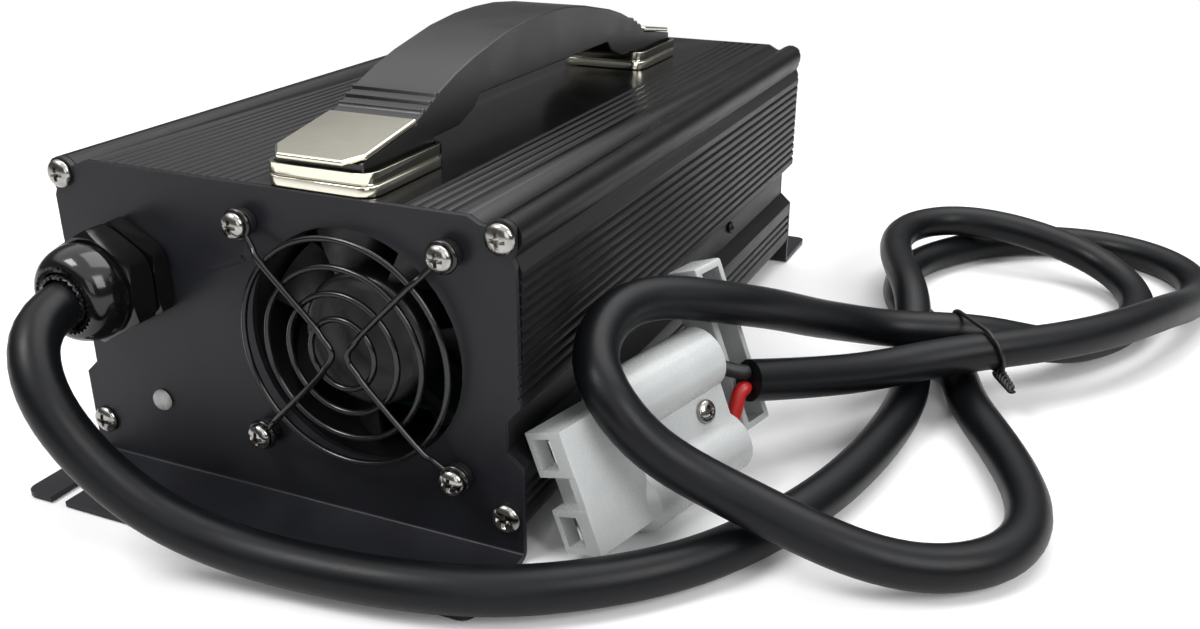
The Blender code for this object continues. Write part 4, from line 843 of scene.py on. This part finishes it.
@dataclass
class OutputLead:
    """The jacketed lead, from the gland round its loops to the connector."""

    diameter: float = 0.0145
    length: float = 1.90
    samples: int = 420
    easing: int = 12
    detail: int = 8
    mouth: float = 0.0305
    route: Sequence[Point] = (
        (-0.0565, -0.0120, 0.0732), (-0.0565, -0.0340, 0.0732), (-0.0545, -0.0445, 0.0707),
        (-0.0480, -0.0520, 0.0640), (-0.0375, -0.0570, 0.0510), (-0.0187, -0.0535, 0.0290),
        (-0.0020, -0.0480, 0.0165), (0.0240, -0.0430, 0.0102), (0.0660, -0.0375, 0.0098),
        (0.0984, -0.0250, 0.0090), (0.1333, 0.0054, 0.0076), (0.1550, 0.0430, 0.0075),
        (0.1670, 0.0800, 0.0075), (0.1730, 0.1220, 0.0075), (0.1732, 0.1469, 0.0075),
        (0.1705, 0.1690, 0.0078), (0.1665, 0.1890, 0.0132), (0.1610, 0.2120, 0.0224),
        (0.1490, 0.2450, 0.0226), (0.1405, 0.2760, 0.0226), (0.1425, 0.3020, 0.0226),
        (0.1570, 0.3205, 0.0226), (0.1760, 0.3240, 0.0224), (0.2000, 0.3200, 0.0205),
        (0.2262, 0.3170, 0.0140), (0.2430, 0.3030, 0.0090), (0.2500, 0.2780, 0.0075),
        (0.2465, 0.2500, 0.0075), (0.2340, 0.2250, 0.0078), (0.2190, 0.2040, 0.0120),
        (0.2040, 0.1880, 0.0195), (0.1890, 0.1765, 0.0245), (0.1740, 0.1705, 0.0248),
        (0.1600, 0.1645, 0.0250), (0.1490, 0.1520, 0.0305), (0.1390, 0.1310, 0.0390),
        (0.1310, 0.1100, 0.0490), (0.1236, 0.0915, 0.0565), (0.1125, 0.0755, 0.0630),
        (0.1010, 0.0640, 0.0668), (0.0945, 0.0490, 0.0670), (0.0942, 0.0345, 0.0640),
        (0.0975, 0.0215, 0.0580), (0.1076, 0.0137, 0.0537), (0.1165, 0.0155, 0.0400),
        (0.1330, 0.0205, 0.0295), (0.1510, 0.0225, 0.0228), (0.1700, 0.0215, 0.0175),
        (0.1900, 0.0270, 0.0105), (0.2085, 0.0370, 0.0076), (0.2215, 0.0510, 0.0075),
        (0.2253, 0.0700, 0.0075), (0.2210, 0.0920, 0.0075), (0.2083, 0.1213, 0.0075),
        (0.1945, 0.1480, 0.0075), (0.1880, 0.1710, 0.0075), (0.1790, 0.1960, 0.0075),
        (0.1645, 0.2190, 0.0075), (0.1515, 0.2400, 0.0075), (0.1460, 0.2680, 0.0075),
        (0.1495, 0.2939, 0.0075), (0.1594, 0.3138, 0.0075), (0.1720, 0.3310, 0.0075),
        (0.1875, 0.3453, 0.0075), (0.2090, 0.3560, 0.0075), (0.2330, 0.3570, 0.0075),
        (0.2550, 0.3475, 0.0075), (0.2700, 0.3290, 0.0075), (0.2745, 0.3050, 0.0076),
        (0.2700, 0.2760, 0.0120), (0.2600, 0.2460, 0.0185), (0.2450, 0.2130, 0.0222),
        (0.2280, 0.1890, 0.0235), (0.2120, 0.1730, 0.0240), (0.1985, 0.1610, 0.0245),
        (0.1845, 0.1500, 0.0238), (0.1720, 0.1388, 0.0232), (0.1605, 0.1240, 0.0240),
        (0.1502, 0.1110, 0.0265), (0.1412, 0.0970, 0.0298), (0.1295, 0.0812, 0.0338),
    )

    def build(self, shop: Workshop) -> bpy.types.Object:
        """Lay the lead.

        Args:
            shop: Shared workshop.

        Returns:
            The lead.
        """
        line = smooth_line([(x, depth(y), z) for x, y, z in self.route], self.samples)
        lead = tube_curve("lead", [eased(line, self.easing)], self.diameter / 2, self.detail)
        shop.settle(lead, Finishes.JACKET, ["output_cable"])
        return lead


# Screws


@dataclass(frozen=True)
class Screw:
    """A pan-head screw with a cross recess, in its own axes: the head's underside at zero, +Z outward."""

    shank: float
    head: float
    height: float
    finish: Finish = Finishes.SCREW
    steps: int = 48
    rim: float = 0.22
    arm: float = 0.66
    slot: float = 0.17
    sunk: float = 0.62
    taper: float = 0.55
    skirt: float = 0.08
    under: float = 0.97
    slack: float = 0.02
    steep: float = 0.7

    def shape(self, reach: float) -> bmesh.types.BMesh:
        """Make the screw.

        Args:
            reach: Length of the shank.

        Returns:
            The shape, its recess faces with material index 1, which take a near-black painted shade.
        """
        profile = [(0.0, self.height)]
        for side, up in quarter(8)[1:]:
            profile.append((self.head * side, self.height * (self.rim + (1 - self.rim) * up)))
        profile += [
            (self.head, self.height * self.skirt), (self.head * self.under, 0.0), (self.shank, 0.0),
            (self.shank, self.shank - reach), (0.0, -reach),
        ]
        shape = combined(turned(profile, self.steps), self.cross(), Operation.CUT)
        floor = self.height * (1 - self.sunk)
        reach_in = self.arm * self.head * (1 - self.slack / 2)
        # Mark the recess faces for the near-black painted shade finish.
        for face in shape.faces:
            middle = face.calc_center_median()
            across = math.hypot(middle.x, middle.y)
            inside = across < reach_in and middle.z > floor * (1 - self.slack)
            if inside and (abs(face.normal.z) < self.steep or middle.z < floor * (1 + self.slack)):
                face.material_index = 1
        return shape

    def cross(self) -> bmesh.types.BMesh:
        """Return the tapered cross that cuts the recess."""
        arm, slot = self.arm * self.head, self.slot * self.head
        low, high = self.height * (1 - self.sunk), 1.2 * self.height
        shapes = []
        for across, along in ((arm, slot), (slot, arm)):
            shape = block((-across, -along, low), (across, along, high))
            foot = [vert for vert in shape.verts if vert.co.z < (low + high) / 2]
            bmesh.ops.scale(shape, vec=(self.taper, self.taper, 1.0), verts=foot)
            shapes.append(shape)
        return combined(shapes[0], shapes[1], Operation.JOIN)

    def drive(self, shop: Workshop, node: str, direction: Point) -> None:
        """Stand the fine screw in for a node whose screw lies along a world axis.

        Args:
            shop: Shared workshop.
            node: Name of the node.
            direction: Where the head points.
        """
        low, high = corners(node)
        way = Vector(direction)
        length = abs((high - low).dot(way))
        middle = (low + high) / 2
        seat = middle + way * (length / 2 - self.height)
        self.place(shop, node, aimed(seat, direction), length - self.height)

    def place(self, shop: Workshop, node: str, place: Matrix, reach: float) -> None:
        """Stand the fine screw in for a node.

        Args:
            shop: Shared workshop.
            node: Name of the node.
            place: Where the head's underside goes.
            reach: Length of the shank.
        """
        shape = self.shape(reach)
        bmesh.ops.transform(shape, matrix=place, verts=shape.verts)
        # The recess faces are painted near black as shade.
        shop.add(f"{node}_finished", shape, self.finish, [node], inlay=Finishes.RECESS_PAINTED_SHADE, sharp=40.0)


# Case


@dataclass
class CaseBody:
    """The ribbed extrusion, its two bent panels, their screws and the small dark ones in its sides."""

    panel_screw: Screw = Screw(0.0016, 0.00475, 0.0026)
    side_screw: Screw = Screw(0.0013, 0.0026, 0.0016, Finishes.DARK)
    edge: float = 0.00022
    panel_edge: float = 0.0006

    def build(self, shop: Workshop) -> None:
        """Build and dress the case.

        Args:
            shop: Shared workshop.
        """
        shop.refine("case_shell", Finishes.EXTRUSION, self.edge, 1, sharp=25.0)
        for end, way in (("front", FORWARD), ("rear", REARWARD)):
            shop.refine(f"{end}_panel", Finishes.ENAMEL, self.panel_edge, 2)
            for corner in CORNERS:
                self.panel_screw.drive(shop, f"{end}_screw_{corner}", way)
        for hand, side in (("left", -1.0), ("right", 1.0)):
            self.side_screw.drive(shop, f"side_screw_{hand}", (side, 0.0, 0.0))


# Fan and its guard


@dataclass
class Fan:
    """The axial fan: frame, pitched impeller that turns, long screws and the spacers under the guard."""

    x: float = 0.0287
    z: float = 0.0612
    start: float = 0.0023
    thick: float = 0.025
    hub: float = 0.022
    tip: float = 0.0365
    crown: float = 0.0022
    dish: Span = (0.70, 0.74)
    web: float = 0.0012
    frame_edge: float = 0.0004
    spacer_edge: float = 0.0003
    steps: int = 72
    blades: int = 7
    blade: float = 0.0013
    chord: float = 0.022
    root_chord: float = 0.82
    root_pitch: float = math.radians(52)
    tip_pitch: float = math.radians(30)
    camber: float = 0.0016
    shaft: float = 0.00158
    front_gap: float = 0.0025
    back_gap: float = 0.0042
    screw: Screw = Screw(0.0018, 0.00425, 0.0026)

    def build(self, shop: Workshop) -> None:
        """Build and dress the fan.

        Args:
            shop: Shared workshop.
        """
        shop.refine("fan_frame", Finishes.FAN, self.frame_edge)
        place = aimed((self.x, depth(self.start + self.thick / 2), self.z), FORWARD)
        shape = combined(self.hub_shape(), self.blade_ring(), Operation.JOIN)
        bmesh.ops.transform(shape, matrix=place, verts=shape.verts)
        shop.add("impeller_finished", shape, Finishes.FAN, ["fan_impeller"], IMPELLER)
        for corner in CORNERS:
            self.screw.drive(shop, f"fan_screw_{corner}", FORWARD)
            shop.refine(f"fan_spacer_{corner}", Finishes.SOFT, self.spacer_edge)

    def hub_shape(self) -> bmesh.types.BMesh:
        """Return the hollow hub, its front edge rounded and a shallow dish in its face."""
        front = self.thick / 2 - self.front_gap
        back = self.back_gap - self.thick / 2
        inner, outer = (self.hub * share for share in self.dish)
        profile = [(0.0, front - self.web / 4), (inner, front - self.web / 4), (outer, front)]
        for side, up in quarter(5):
            profile.append((self.hub - self.crown * (1 - side), front - self.crown * (1 - up)))
        roof = front - 2.5 * self.web
        profile += [(self.hub, back), (self.shaft, back), (self.shaft, roof), (0.0, roof)]
        return turned(profile, self.steps)

    def blade_ring(self) -> bmesh.types.BMesh:
        """Return all blades, each a twisted and arched sheet with its own thickness."""
        ring = bmesh.new()
        bmesh.ops.create_grid(ring, x_segments=8, y_segments=8, size=0.5)
        root = self.hub - self.blade
        for vert in ring.verts:
            along, across = vert.co.x + 0.5, vert.co.y
            radius = root + along * (self.tip - root)
            pitch = self.root_pitch + (self.tip_pitch - self.root_pitch) * along
            chord = across * self.chord * (self.root_chord + (1 - self.root_chord) * along)
            turn = chord * math.cos(pitch) / radius
            rise = chord * math.sin(pitch) + self.camber * (1 - 4 * across * across)
            vert.co = (radius * math.cos(turn), radius * math.sin(turn), rise)
        bmesh.ops.solidify(ring, geom=ring.faces[:], thickness=self.blade)
        first = ring.verts[:] + ring.edges[:] + ring.faces[:]
        for index in range(1, self.blades):
            copy = bmesh.ops.duplicate(ring, geom=first)["geom"]
            verts = [item for item in copy if isinstance(item, bmesh.types.BMVert)]
            turn = Matrix.Rotation(2 * math.pi * index / self.blades, 3, "Z")
            bmesh.ops.rotate(ring, cent=(0, 0, 0), matrix=turn, verts=verts)
        return ring


@dataclass
class WireGuard:
    """The finger guard: four wire rings welded to two bent wires, with an eye round each screw."""

    x: float = 0.0287
    z: float = 0.0612
    wire: float = 0.001
    spacing: float = 0.0715
    ring: float = 0.0365
    ratios: Sequence[float] = (1.0, 0.76, 0.53, 0.31)
    ring_out: float = 0.0058
    arm_out: float = 0.0072
    eye: float = 0.0042
    eye_out: float = 0.0043
    apex: float = 0.0028
    bend: float = 0.0128
    ring_steps: int = 96
    eye_steps: int = 40
    arm_steps: int = 120
    detail: int = 4

    def build(self, shop: Workshop) -> None:
        """Build and dress the guard.

        Args:
            shop: Shared workshop.
        """
        centre = (self.x, depth(-self.ring_out), self.z)
        rings = [circle(centre, self.ring * ratio, self.ring_steps) for ratio in self.ratios]
        half = self.spacing / 2
        for across in (-half, half):
            for up in (-half, half):
                place = (self.x + across, depth(-self.eye_out), self.z + up)
                rings.append(circle(place, self.eye, self.eye_steps))
        arms = [smooth_line(self.arm(side), self.arm_steps) for side in (-1, 1)]
        guard = tube_curve("fan_guard_wires", arms, self.wire, self.detail, rings)
        shop.settle(guard, Finishes.WIRE, ["fan_guard"])

    def arm(self, side: int) -> list[Point]:
        """Return one bent wire's route.

        Args:
            side: -1 for the left wire, 1 for the right one.

        Returns:
            Points from the upper screw round near the centre to the lower screw.
        """
        neck = self.spacing / math.sqrt(2) - self.eye + self.wire / 2
        rise = (self.ring + neck) / 2
        radii = ((neck, self.eye_out), (rise, (self.eye_out + self.arm_out) / 2), (self.ring, self.arm_out))
        upper = [(radius / math.sqrt(2), radius / math.sqrt(2), out) for radius, out in radii]
        bend = self.bend / math.sqrt(2)
        upper += [
            (bend, bend, self.arm_out), (0.55 * bend + 0.3 * self.apex, 0.55 * bend, self.arm_out),
            (1.25 * self.apex, 0.25 * bend, self.arm_out),
        ]
        lower = [(across, -up, out) for across, up, out in reversed(upper)]
        line = upper + [(self.apex, 0.0, self.arm_out)] + lower
        return [(self.x + side * across, depth(-out), self.z + up) for across, up, out in line]


# Cable gland


@dataclass
class CableGland:
    """The cable gland: hexagon body, domed glossy cap with a toothed mouth, soft seal and locknut."""

    x: float = -0.0565
    z: float = 0.0732
    flats: float = 0.033
    body: tuple[float, float] = (0.0003, 0.0073)
    hexagon: tuple[float, float] = (0.0082, 0.0175)
    outer: float = 0.0159
    waist: float = 0.0150
    lip: float = 0.0105
    mouth: float = 0.0093
    end: float = 0.0292
    thread: float = 0.0138
    bore: float = 0.0090
    neck: float = 0.0200
    inside: float = -0.0095
    seal_span: tuple[float, float] = (0.0080, 0.0305)
    seal_radius: float = 0.0087
    grip: float = 0.00745
    steps: int = 72
    tooth: float = 0.0006
    chamfer: float = 0.0011
    overlap: float = 0.002
    groove: Span = (0.0006, 0.0010)
    shoulder: float = 0.0018
    shoulder_edge: float = 0.0003
    finger: float = 0.0012
    room: float = 0.0003
    funnel: float = 0.003
    edge: float = 0.0004
    sharp: float = 30.0

    def build(self, shop: Workshop) -> None:
        """Build and dress the gland.

        Args:
            shop: Shared workshop.
        """
        nut = self.nut(*self.body)
        thread = turned(self.rod(self.thread, self.inside, self.neck), self.steps)
        bore = turned(self.rod(self.bore, self.inside - self.overlap, self.neck + self.overlap), self.steps)
        base = combined(combined(nut, thread, Operation.JOIN), bore, Operation.CUT)
        cap = combined(self.nut(*self.hexagon), self.dome(), Operation.JOIN)
        cap = combined(cap, self.hollow(), Operation.CUT)
        self.fit(shop, "gland_body", base)
        self.fit(shop, "gland_cap", cap)
        shop.refine("gland_locknut", Finishes.GLAND, self.edge)
        self.fit(shop, "gland_seal", self.seal())

    def fit(self, shop: Workshop, node: str, shape: bmesh.types.BMesh) -> None:
        """Stand a turned shape in for one of the gland's nodes.

        Args:
            shop: Shared workshop.
            node: Name of the node.
            shape: The shape, its +Z out of the panel.
        """
        place = aimed((self.x, depth(0), self.z), FORWARD)
        bmesh.ops.transform(shape, matrix=place, verts=shape.verts)
        shop.add(f"{node}_finished", shape, Finishes.GLAND, [node], sharp=self.sharp)

    def nut(self, start: float, stop: float) -> bmesh.types.BMesh:
        """Make a hexagon with a corner up and turned chamfers.

        Args:
            start: Distance of its inner face from the panel.
            stop: Distance of its outer face.

        Returns:
            The shape.
        """
        corner = self.flats / math.sqrt(3)
        shape = bmesh.new()
        bmesh.ops.create_cone(
            shape, cap_ends=True, segments=6, radius1=corner, radius2=corner, depth=stop - start,
            matrix=Matrix.Translation((0, 0, (start + stop) / 2)),
        )
        half = self.flats / 2
        cut = self.chamfer
        profile = [
            (0.0, start - cut / 10), (half + cut / 3, start), (corner - cut / 6, start + cut),
            (corner - cut / 6, stop - cut), (half + cut / 3, stop), (0.0, stop + cut / 10),
        ]
        return combined(shape, turned(profile, self.steps), Operation.KEEP)

    def rod(self, radius: float, start: float, stop: float) -> list[tuple[float, float]]:
        """Return the profile of a plain rod between two distances."""
        return [(0.0, start), (radius, start), (radius, stop), (0.0, stop)]

    def dome(self) -> bmesh.types.BMesh:
        """Return the cap's smooth dome, with small teeth round its mouth."""
        hex_end = self.hexagon[1]
        root, shoulder = hex_end - self.overlap, hex_end + self.shoulder
        profile = [
            (0.0, root), (self.waist, root), (self.waist, hex_end + self.groove[0]),
            (self.outer - self.shoulder_edge, hex_end + self.groove[1]), (self.outer, shoulder),
        ]
        for rise, across in quarter(14)[1:]:
            radius = self.lip + (self.outer - self.lip) * across
            profile.append((radius, shoulder + (self.end - shoulder) * rise))
        profile += [(self.lip - 0.0004, self.end), (0.0, self.end)]
        shape = turned(profile, self.steps)
        for vert in shape.verts:
            radius = math.hypot(vert.co.x, vert.co.y)
            step = round(math.atan2(vert.co.y, vert.co.x) * self.steps / (2 * math.pi))
            if step % 2 and self.mouth < radius < self.lip + 0.0001 and vert.co.z > self.end - 0.0003:
                vert.co.z -= self.tooth
        return shape

    def seal(self) -> bmesh.types.BMesh:
        """Return the soft seal, its outer end cut into fingers that close on the cable."""
        inner, outer = self.grip, self.seal_radius
        start, stop = self.seal_span
        middle = stop - self.finger
        profile = [
            (inner, start), (outer, start), (outer, middle), (outer - self.shoulder_edge, stop),
            (inner, stop), (inner, middle), (inner, start),
        ]
        shape = turned(profile, self.steps)
        for vert in shape.verts:
            step = round(math.atan2(vert.co.y, vert.co.x) * self.steps / (2 * math.pi))
            if step % 3 == 0 and vert.co.z > stop - 0.0001:
                vert.co.z = middle + self.finger / 4
        return shape

    def hollow(self) -> bmesh.types.BMesh:
        """Return the tool that opens the cap for the thread, the seal and the cable."""
        start, stop = self.hexagon[0] - self.overlap, self.end + self.overlap
        wide = self.thread + self.room
        profile = [
            (0.0, start), (wide, start), (wide, self.neck + self.room), (self.mouth, self.neck + self.funnel),
            (self.mouth, stop), (0.0, stop),
        ]
        return turned(profile, self.steps)


# Lamp


@dataclass
class Lamp:
    """The indicator: a small milky dome on a stem through the panel."""

    radius: float = 0.00375
    stem: float = 0.0025
    height: float = 0.0024
    rim: float = 0.15
    steps: int = 40

    def build(self, shop: Workshop) -> None:
        """Build and dress the lamp.

        Args:
            shop: Shared workshop.
        """
        low, high = corners("lamp_lens")
        length = high.y - low.y
        seat = ((low.x + high.x) / 2, low.y + self.height, (low.z + high.z) / 2)
        profile = [(0.0, self.height)]
        for side, up in quarter(8)[1:]:
            profile.append((self.radius * side, self.height * (self.rim + (1 - self.rim) * up)))
        foot = self.height - length
        profile += [(self.radius, 0.0), (self.stem, 0.0), (self.stem, foot), (0.0, foot)]
        shape = turned(profile, self.steps, aimed(seat, FORWARD))
        shop.add("lamp_lens_finished", shape, Finishes.LENS, ["lamp_lens"])


# Carry handle


@dataclass
class CarryHandle:
    """The handle: an arched grip between two bright trays, with a bright cap plate over each foot."""

    tray_edge: float = 0.0005
    tray_wall: float = 0.0015
    tray_corner: float = 0.005
    groove_height: float = 0.0034
    groove_half: float = 0.0005
    groove_depth: float = 0.0007
    cap_edge: float = 0.0007
    grip_edge: float = 0.0005
    screw: Screw = Screw(0.0018, 0.0038, 0.0024, Finishes.DARK)

    def build(self, shop: Workshop) -> None:
        """Build and dress the handle.

        Args:
            shop: Shared workshop.
        """
        shop.refine("handle_grip", Finishes.GRIP, self.grip_edge, 3, sharp=28.0)
        for end in ("front", "rear"):
            self.build_tray(shop, f"handle_tray_{end}")
            shop.refine(f"handle_cap_{end}", Finishes.NICKEL, self.cap_edge, 3)
            for hand in ("left", "right"):
                self.screw.drive(shop, f"handle_screw_{end}_{hand}", (0.0, 0.0, -1.0))

    def build_tray(self, shop: Workshop, node: str) -> None:
        """Stand a tray with a groove round its outside in for a plain one.

        Args:
            shop: Shared workshop.
            node: Name of the node.
        """
        low, high = corners(node)
        middle, half = (low + high) / 2, (high - low) / 2
        heights = [low.z + self.groove_height + step * self.groove_half for step in (-1, 0, 1)]
        shape = shop.node_shape(node)
        for height in heights:
            geom = shape.verts[:] + shape.edges[:] + shape.faces[:]
            bmesh.ops.bisect_plane(shape, geom=geom, plane_co=(0, 0, height), plane_no=(0, 0, 1))
        straight = half - Vector((self.tray_corner, self.tray_corner, 0))
        for vert in shape.verts:
            if abs(vert.co.z - heights[1]) > 10 * WELD:
                continue
            away = vert.co - middle
            beyond = Vector((
                math.copysign(max(abs(away.x) - straight.x, 0.0), away.x),
                math.copysign(max(abs(away.y) - straight.y, 0.0), away.y), 0.0,
            ))
            if beyond.length > self.tray_corner - self.tray_wall / 2:
                vert.co -= beyond.normalized() * self.groove_depth
        piece = shop.add(f"{node}_finished", shape, Finishes.NICKEL, [node], sharp=32.0)
        shop.soften(piece, self.tray_edge, 3, 50.0)


# Connector


@dataclass
class Connector:
    """The two-pole connector on the lead's end, its carrying bar and the two conductors."""

    corner: Point = (0.0829, 0.0073, 0.0400)
    turn: Point = (math.radians(4.4), math.radians(-21.2), math.radians(-20.4))
    thick: float = 0.016
    length: float = 0.072
    upper: float = -0.005
    lower: float = -0.035
    opening: float = 0.0078
    opening_depth: float = 0.014
    conductor: float = 0.0026
    gap: float = 0.0003
    edge: float = 0.0006
    contact_edge: float = 0.0002
    screw: Screw = Screw(0.0014, 0.0040, 0.0022)
    screw_seat: Point = (0.0138, 0.061, -0.020)
    screw_reach: float = 0.0171
    seat: float = 0.001
    steps: int = 48
    easing: int = 20
    detail: int = 5

    def axes(self) -> Matrix:
        """Return the connector's own axes in the row frame."""
        x, y, z = self.corner
        return Matrix.Translation((x, depth(y), z)) @ Euler(self.turn).to_matrix().to_4x4()

    def build(self, shop: Workshop, lead_end: Sequence[Point]) -> list[bpy.types.Object]:
        """Build and dress the connector.

        Args:
            shop: Shared workshop.
            lead_end: The last two points of the lead's route, in the row frame.

        Returns:
            Its pieces.
        """
        pieces = [
            shop.refine("connector_housing", Finishes.HOUSING, self.edge, 3),
            shop.refine("connector_bar", Finishes.HOUSING, self.edge, 3),
        ]
        for pole in ("upper", "lower"):
            pieces.append(shop.refine(f"connector_contact_{pole}", Finishes.CONTACT, self.contact_edge))
        place = self.axes() @ aimed(self.screw_seat, (1.0, 0.0, 0.0))
        self.screw.place(shop, "connector_screw", place, self.screw_reach)
        pieces.append(bpy.data.objects["connector_screw_finished"])
        return pieces + self.lay_conductors(shop, lead_end)

    def lay_conductors(self, shop: Workshop, lead_end: Sequence[Point]) -> list[bpy.types.Object]:
        """Lay the black and the red conductor from the sheath's end into the barrels.

        Args:
            shop: Shared workshop.
            lead_end: The last two points of the lead's route.

        Returns:
            The conductors.
        """
        axes = self.axes()
        before, end = (axes.inverted() @ Vector(point) for point in lead_end)
        heading = (end - before).normalized()
        sideways = (Vector((0, 0, 1)) - heading * heading.z).normalized()
        spread = self.conductor + self.gap
        centre = self.thick / 2
        made = []
        for node, finish, z, side in (
            ("conductor_black", Finishes.SOFT, self.upper, 1),
            ("conductor_red", Finishes.RED, self.lower, -1),
        ):
            first = end + heading * 4 * self.gap + sideways * side * spread
            mouth = z - side * (self.opening - self.conductor - 4 * self.gap)
            route = [
                tuple(first), tuple(first + heading * self.conductor),
                (centre + self.conductor / 2, self.length + self.conductor, mouth),
                (centre, self.length - self.conductor, mouth),
                (centre, self.length - self.opening_depth + self.seat, z),
            ]
            line = [tuple(axes @ Vector(point)) for point in smooth_line(route, self.steps)]
            lines = [eased(line, self.easing)]
            conductor = tube_curve(f"{node}_finished", lines, self.conductor, self.detail)
            made.append(shop.settle(conductor, finish, [node]))
        return made


# Tie


@dataclass
class CableTie:
    """The dark twisted wire tie round the lead's two upper strands."""

    wire: float = 0.0008
    skew: float = 0.0028
    steps: int = 72
    detail: int = 3
    tail: float = 0.011
    tail_way: Point = (0.55, -0.5, -0.35)
    tail_start: float = -0.0006
    tail_width: float = 1.1
    tail_spread: float = 0.8
    tail_flatness: float = 0.6
    tail_steps: int = 40
    twists: float = 3.0

    def build(self, shop: Workshop) -> list[bpy.types.Object]:
        """Build and dress the tie: a slanted turn of wire, its two ends twisted into a tail.

        Args:
            shop: Shared workshop.

        Returns:
            Its pieces.
        """
        points = np.array([vert.co for vert in shop.frame["nodes"]["cable_tie"].data.vertices])
        centre = (points.min(axis=0) + points.max(axis=0)) / 2
        ways = np.linalg.svd(points - points.mean(axis=0), full_matrices=False)[2]
        spans = np.abs((points - centre) @ ways.T).max(axis=0)
        lean = math.copysign(self.skew, -ways[1][2] * ways[2][0])
        turn = self.turn(centre, ways, spans, lean)
        knot = min(turn, key=lambda place: place[2] - 0.8 * place[0])
        tail = [self.twist(knot, strand) for strand in (0, 1)]
        tie = tube_curve("cable_tie_wires", tail, self.wire, self.detail, [turn])
        return [shop.settle(tie, Finishes.DARK, ["cable_tie"])]

    def turn(self, centre: np.ndarray, ways: np.ndarray, spans: np.ndarray, lean: float) -> list[Point]:
        """Return the slanted turn of wire round both strands.

        Args:
            centre: Middle of the tie.
            ways: Its long, its short and its flat direction.
            spans: Its half sizes along them.
            lean: How far its top goes aside.

        Returns:
            The points.
        """
        radius = spans[1] - self.wire
        straight = spans[0] - spans[1]
        places = []
        for index in range(self.steps):
            angle = 2 * math.pi * index / self.steps
            along = math.copysign(straight, math.cos(angle)) + radius * math.cos(angle)
            up = radius * math.sin(angle)
            aside = lean * math.sin(angle)
            place = centre + along * ways[0] + up * ways[1] + aside * ways[2]
            places.append(tuple(float(part) for part in place))
        return places

    def twist(self, knot: Point, strand: int) -> list[Point]:
        """Return one of the two wires twisted together at the knot.

        Args:
            knot: Where they leave the turns.
            strand: 0 or 1.

        Returns:
            The points.
        """
        start = Vector(knot) + Vector((0.0, self.tail_start, 0.0))
        along = self.tail * Vector(self.tail_way)
        line = []
        for index in range(self.tail_steps):
            share = index / (self.tail_steps - 1)
            angle = 2 * math.pi * self.twists * share + math.pi * strand
            width = self.tail_width * self.wire * (1 + self.tail_spread * (1 - share))
            around = Vector((math.cos(angle), self.tail_flatness * math.sin(angle), math.sin(angle)))
            line.append(tuple(start + share * along + width * around))
        return line


# Rear inlet and the inside


@dataclass
class PowerInlet:
    """The mains inlet in the rear panel with its two screws."""

    screw: Screw = Screw(0.0014, 0.0028, 0.0018)
    edge: float = 0.0003

    def build(self, shop: Workshop) -> None:
        """Build and dress the inlet.

        Args:
            shop: Shared workshop.
        """
        shop.refine("power_inlet", Finishes.GRIP, self.edge)
        for hand in ("left", "right"):
            self.screw.drive(shop, f"inlet_screw_{hand}", REARWARD)


@dataclass
class Interior:
    """The circuit board, its standoffs and the main parts on it, all inside the case."""

    edge: float = 0.0003
    looks: Sequence[tuple[str, Finish]] = (
        ("circuit_board", Finishes.BOARD), ("board_standoff_", Finishes.SCREW),
        ("transformer", Finishes.CORE), ("capacitor_", Finishes.CAN), ("heatsink_", Finishes.MILL),
    )

    def build(self, shop: Workshop) -> None:
        """Build and dress the inside.

        Args:
            shop: Shared workshop.
        """
        for node in sorted(shop.frame["nodes"]):
            for start, finish in self.looks:
                if node.startswith(start):
                    shop.refine(node, finish, self.edge, 1)


def main() -> None:
    """Build every piece in order."""
    logging.basicConfig(level=logging.INFO, format="%(message)s")
    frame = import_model()
    shop = Workshop(frame)
    Studio().build()
    lead = OutputLead()
    cable = lead.build(shop)
    parts = (CaseBody(), Fan(), WireGuard(), CableGland(), Lamp(), CarryHandle(), PowerInlet(), Interior())
    for part in parts:
        log.info("building %s", type(part).__name__)
        part.build(shop)
    lead_end = [(x, depth(y), z) for x, y, z in lead.route[-2:]]
    on_lead = Connector().build(shop, lead_end) + CableTie().build(shop)


if __name__ == "__main__":
    main()
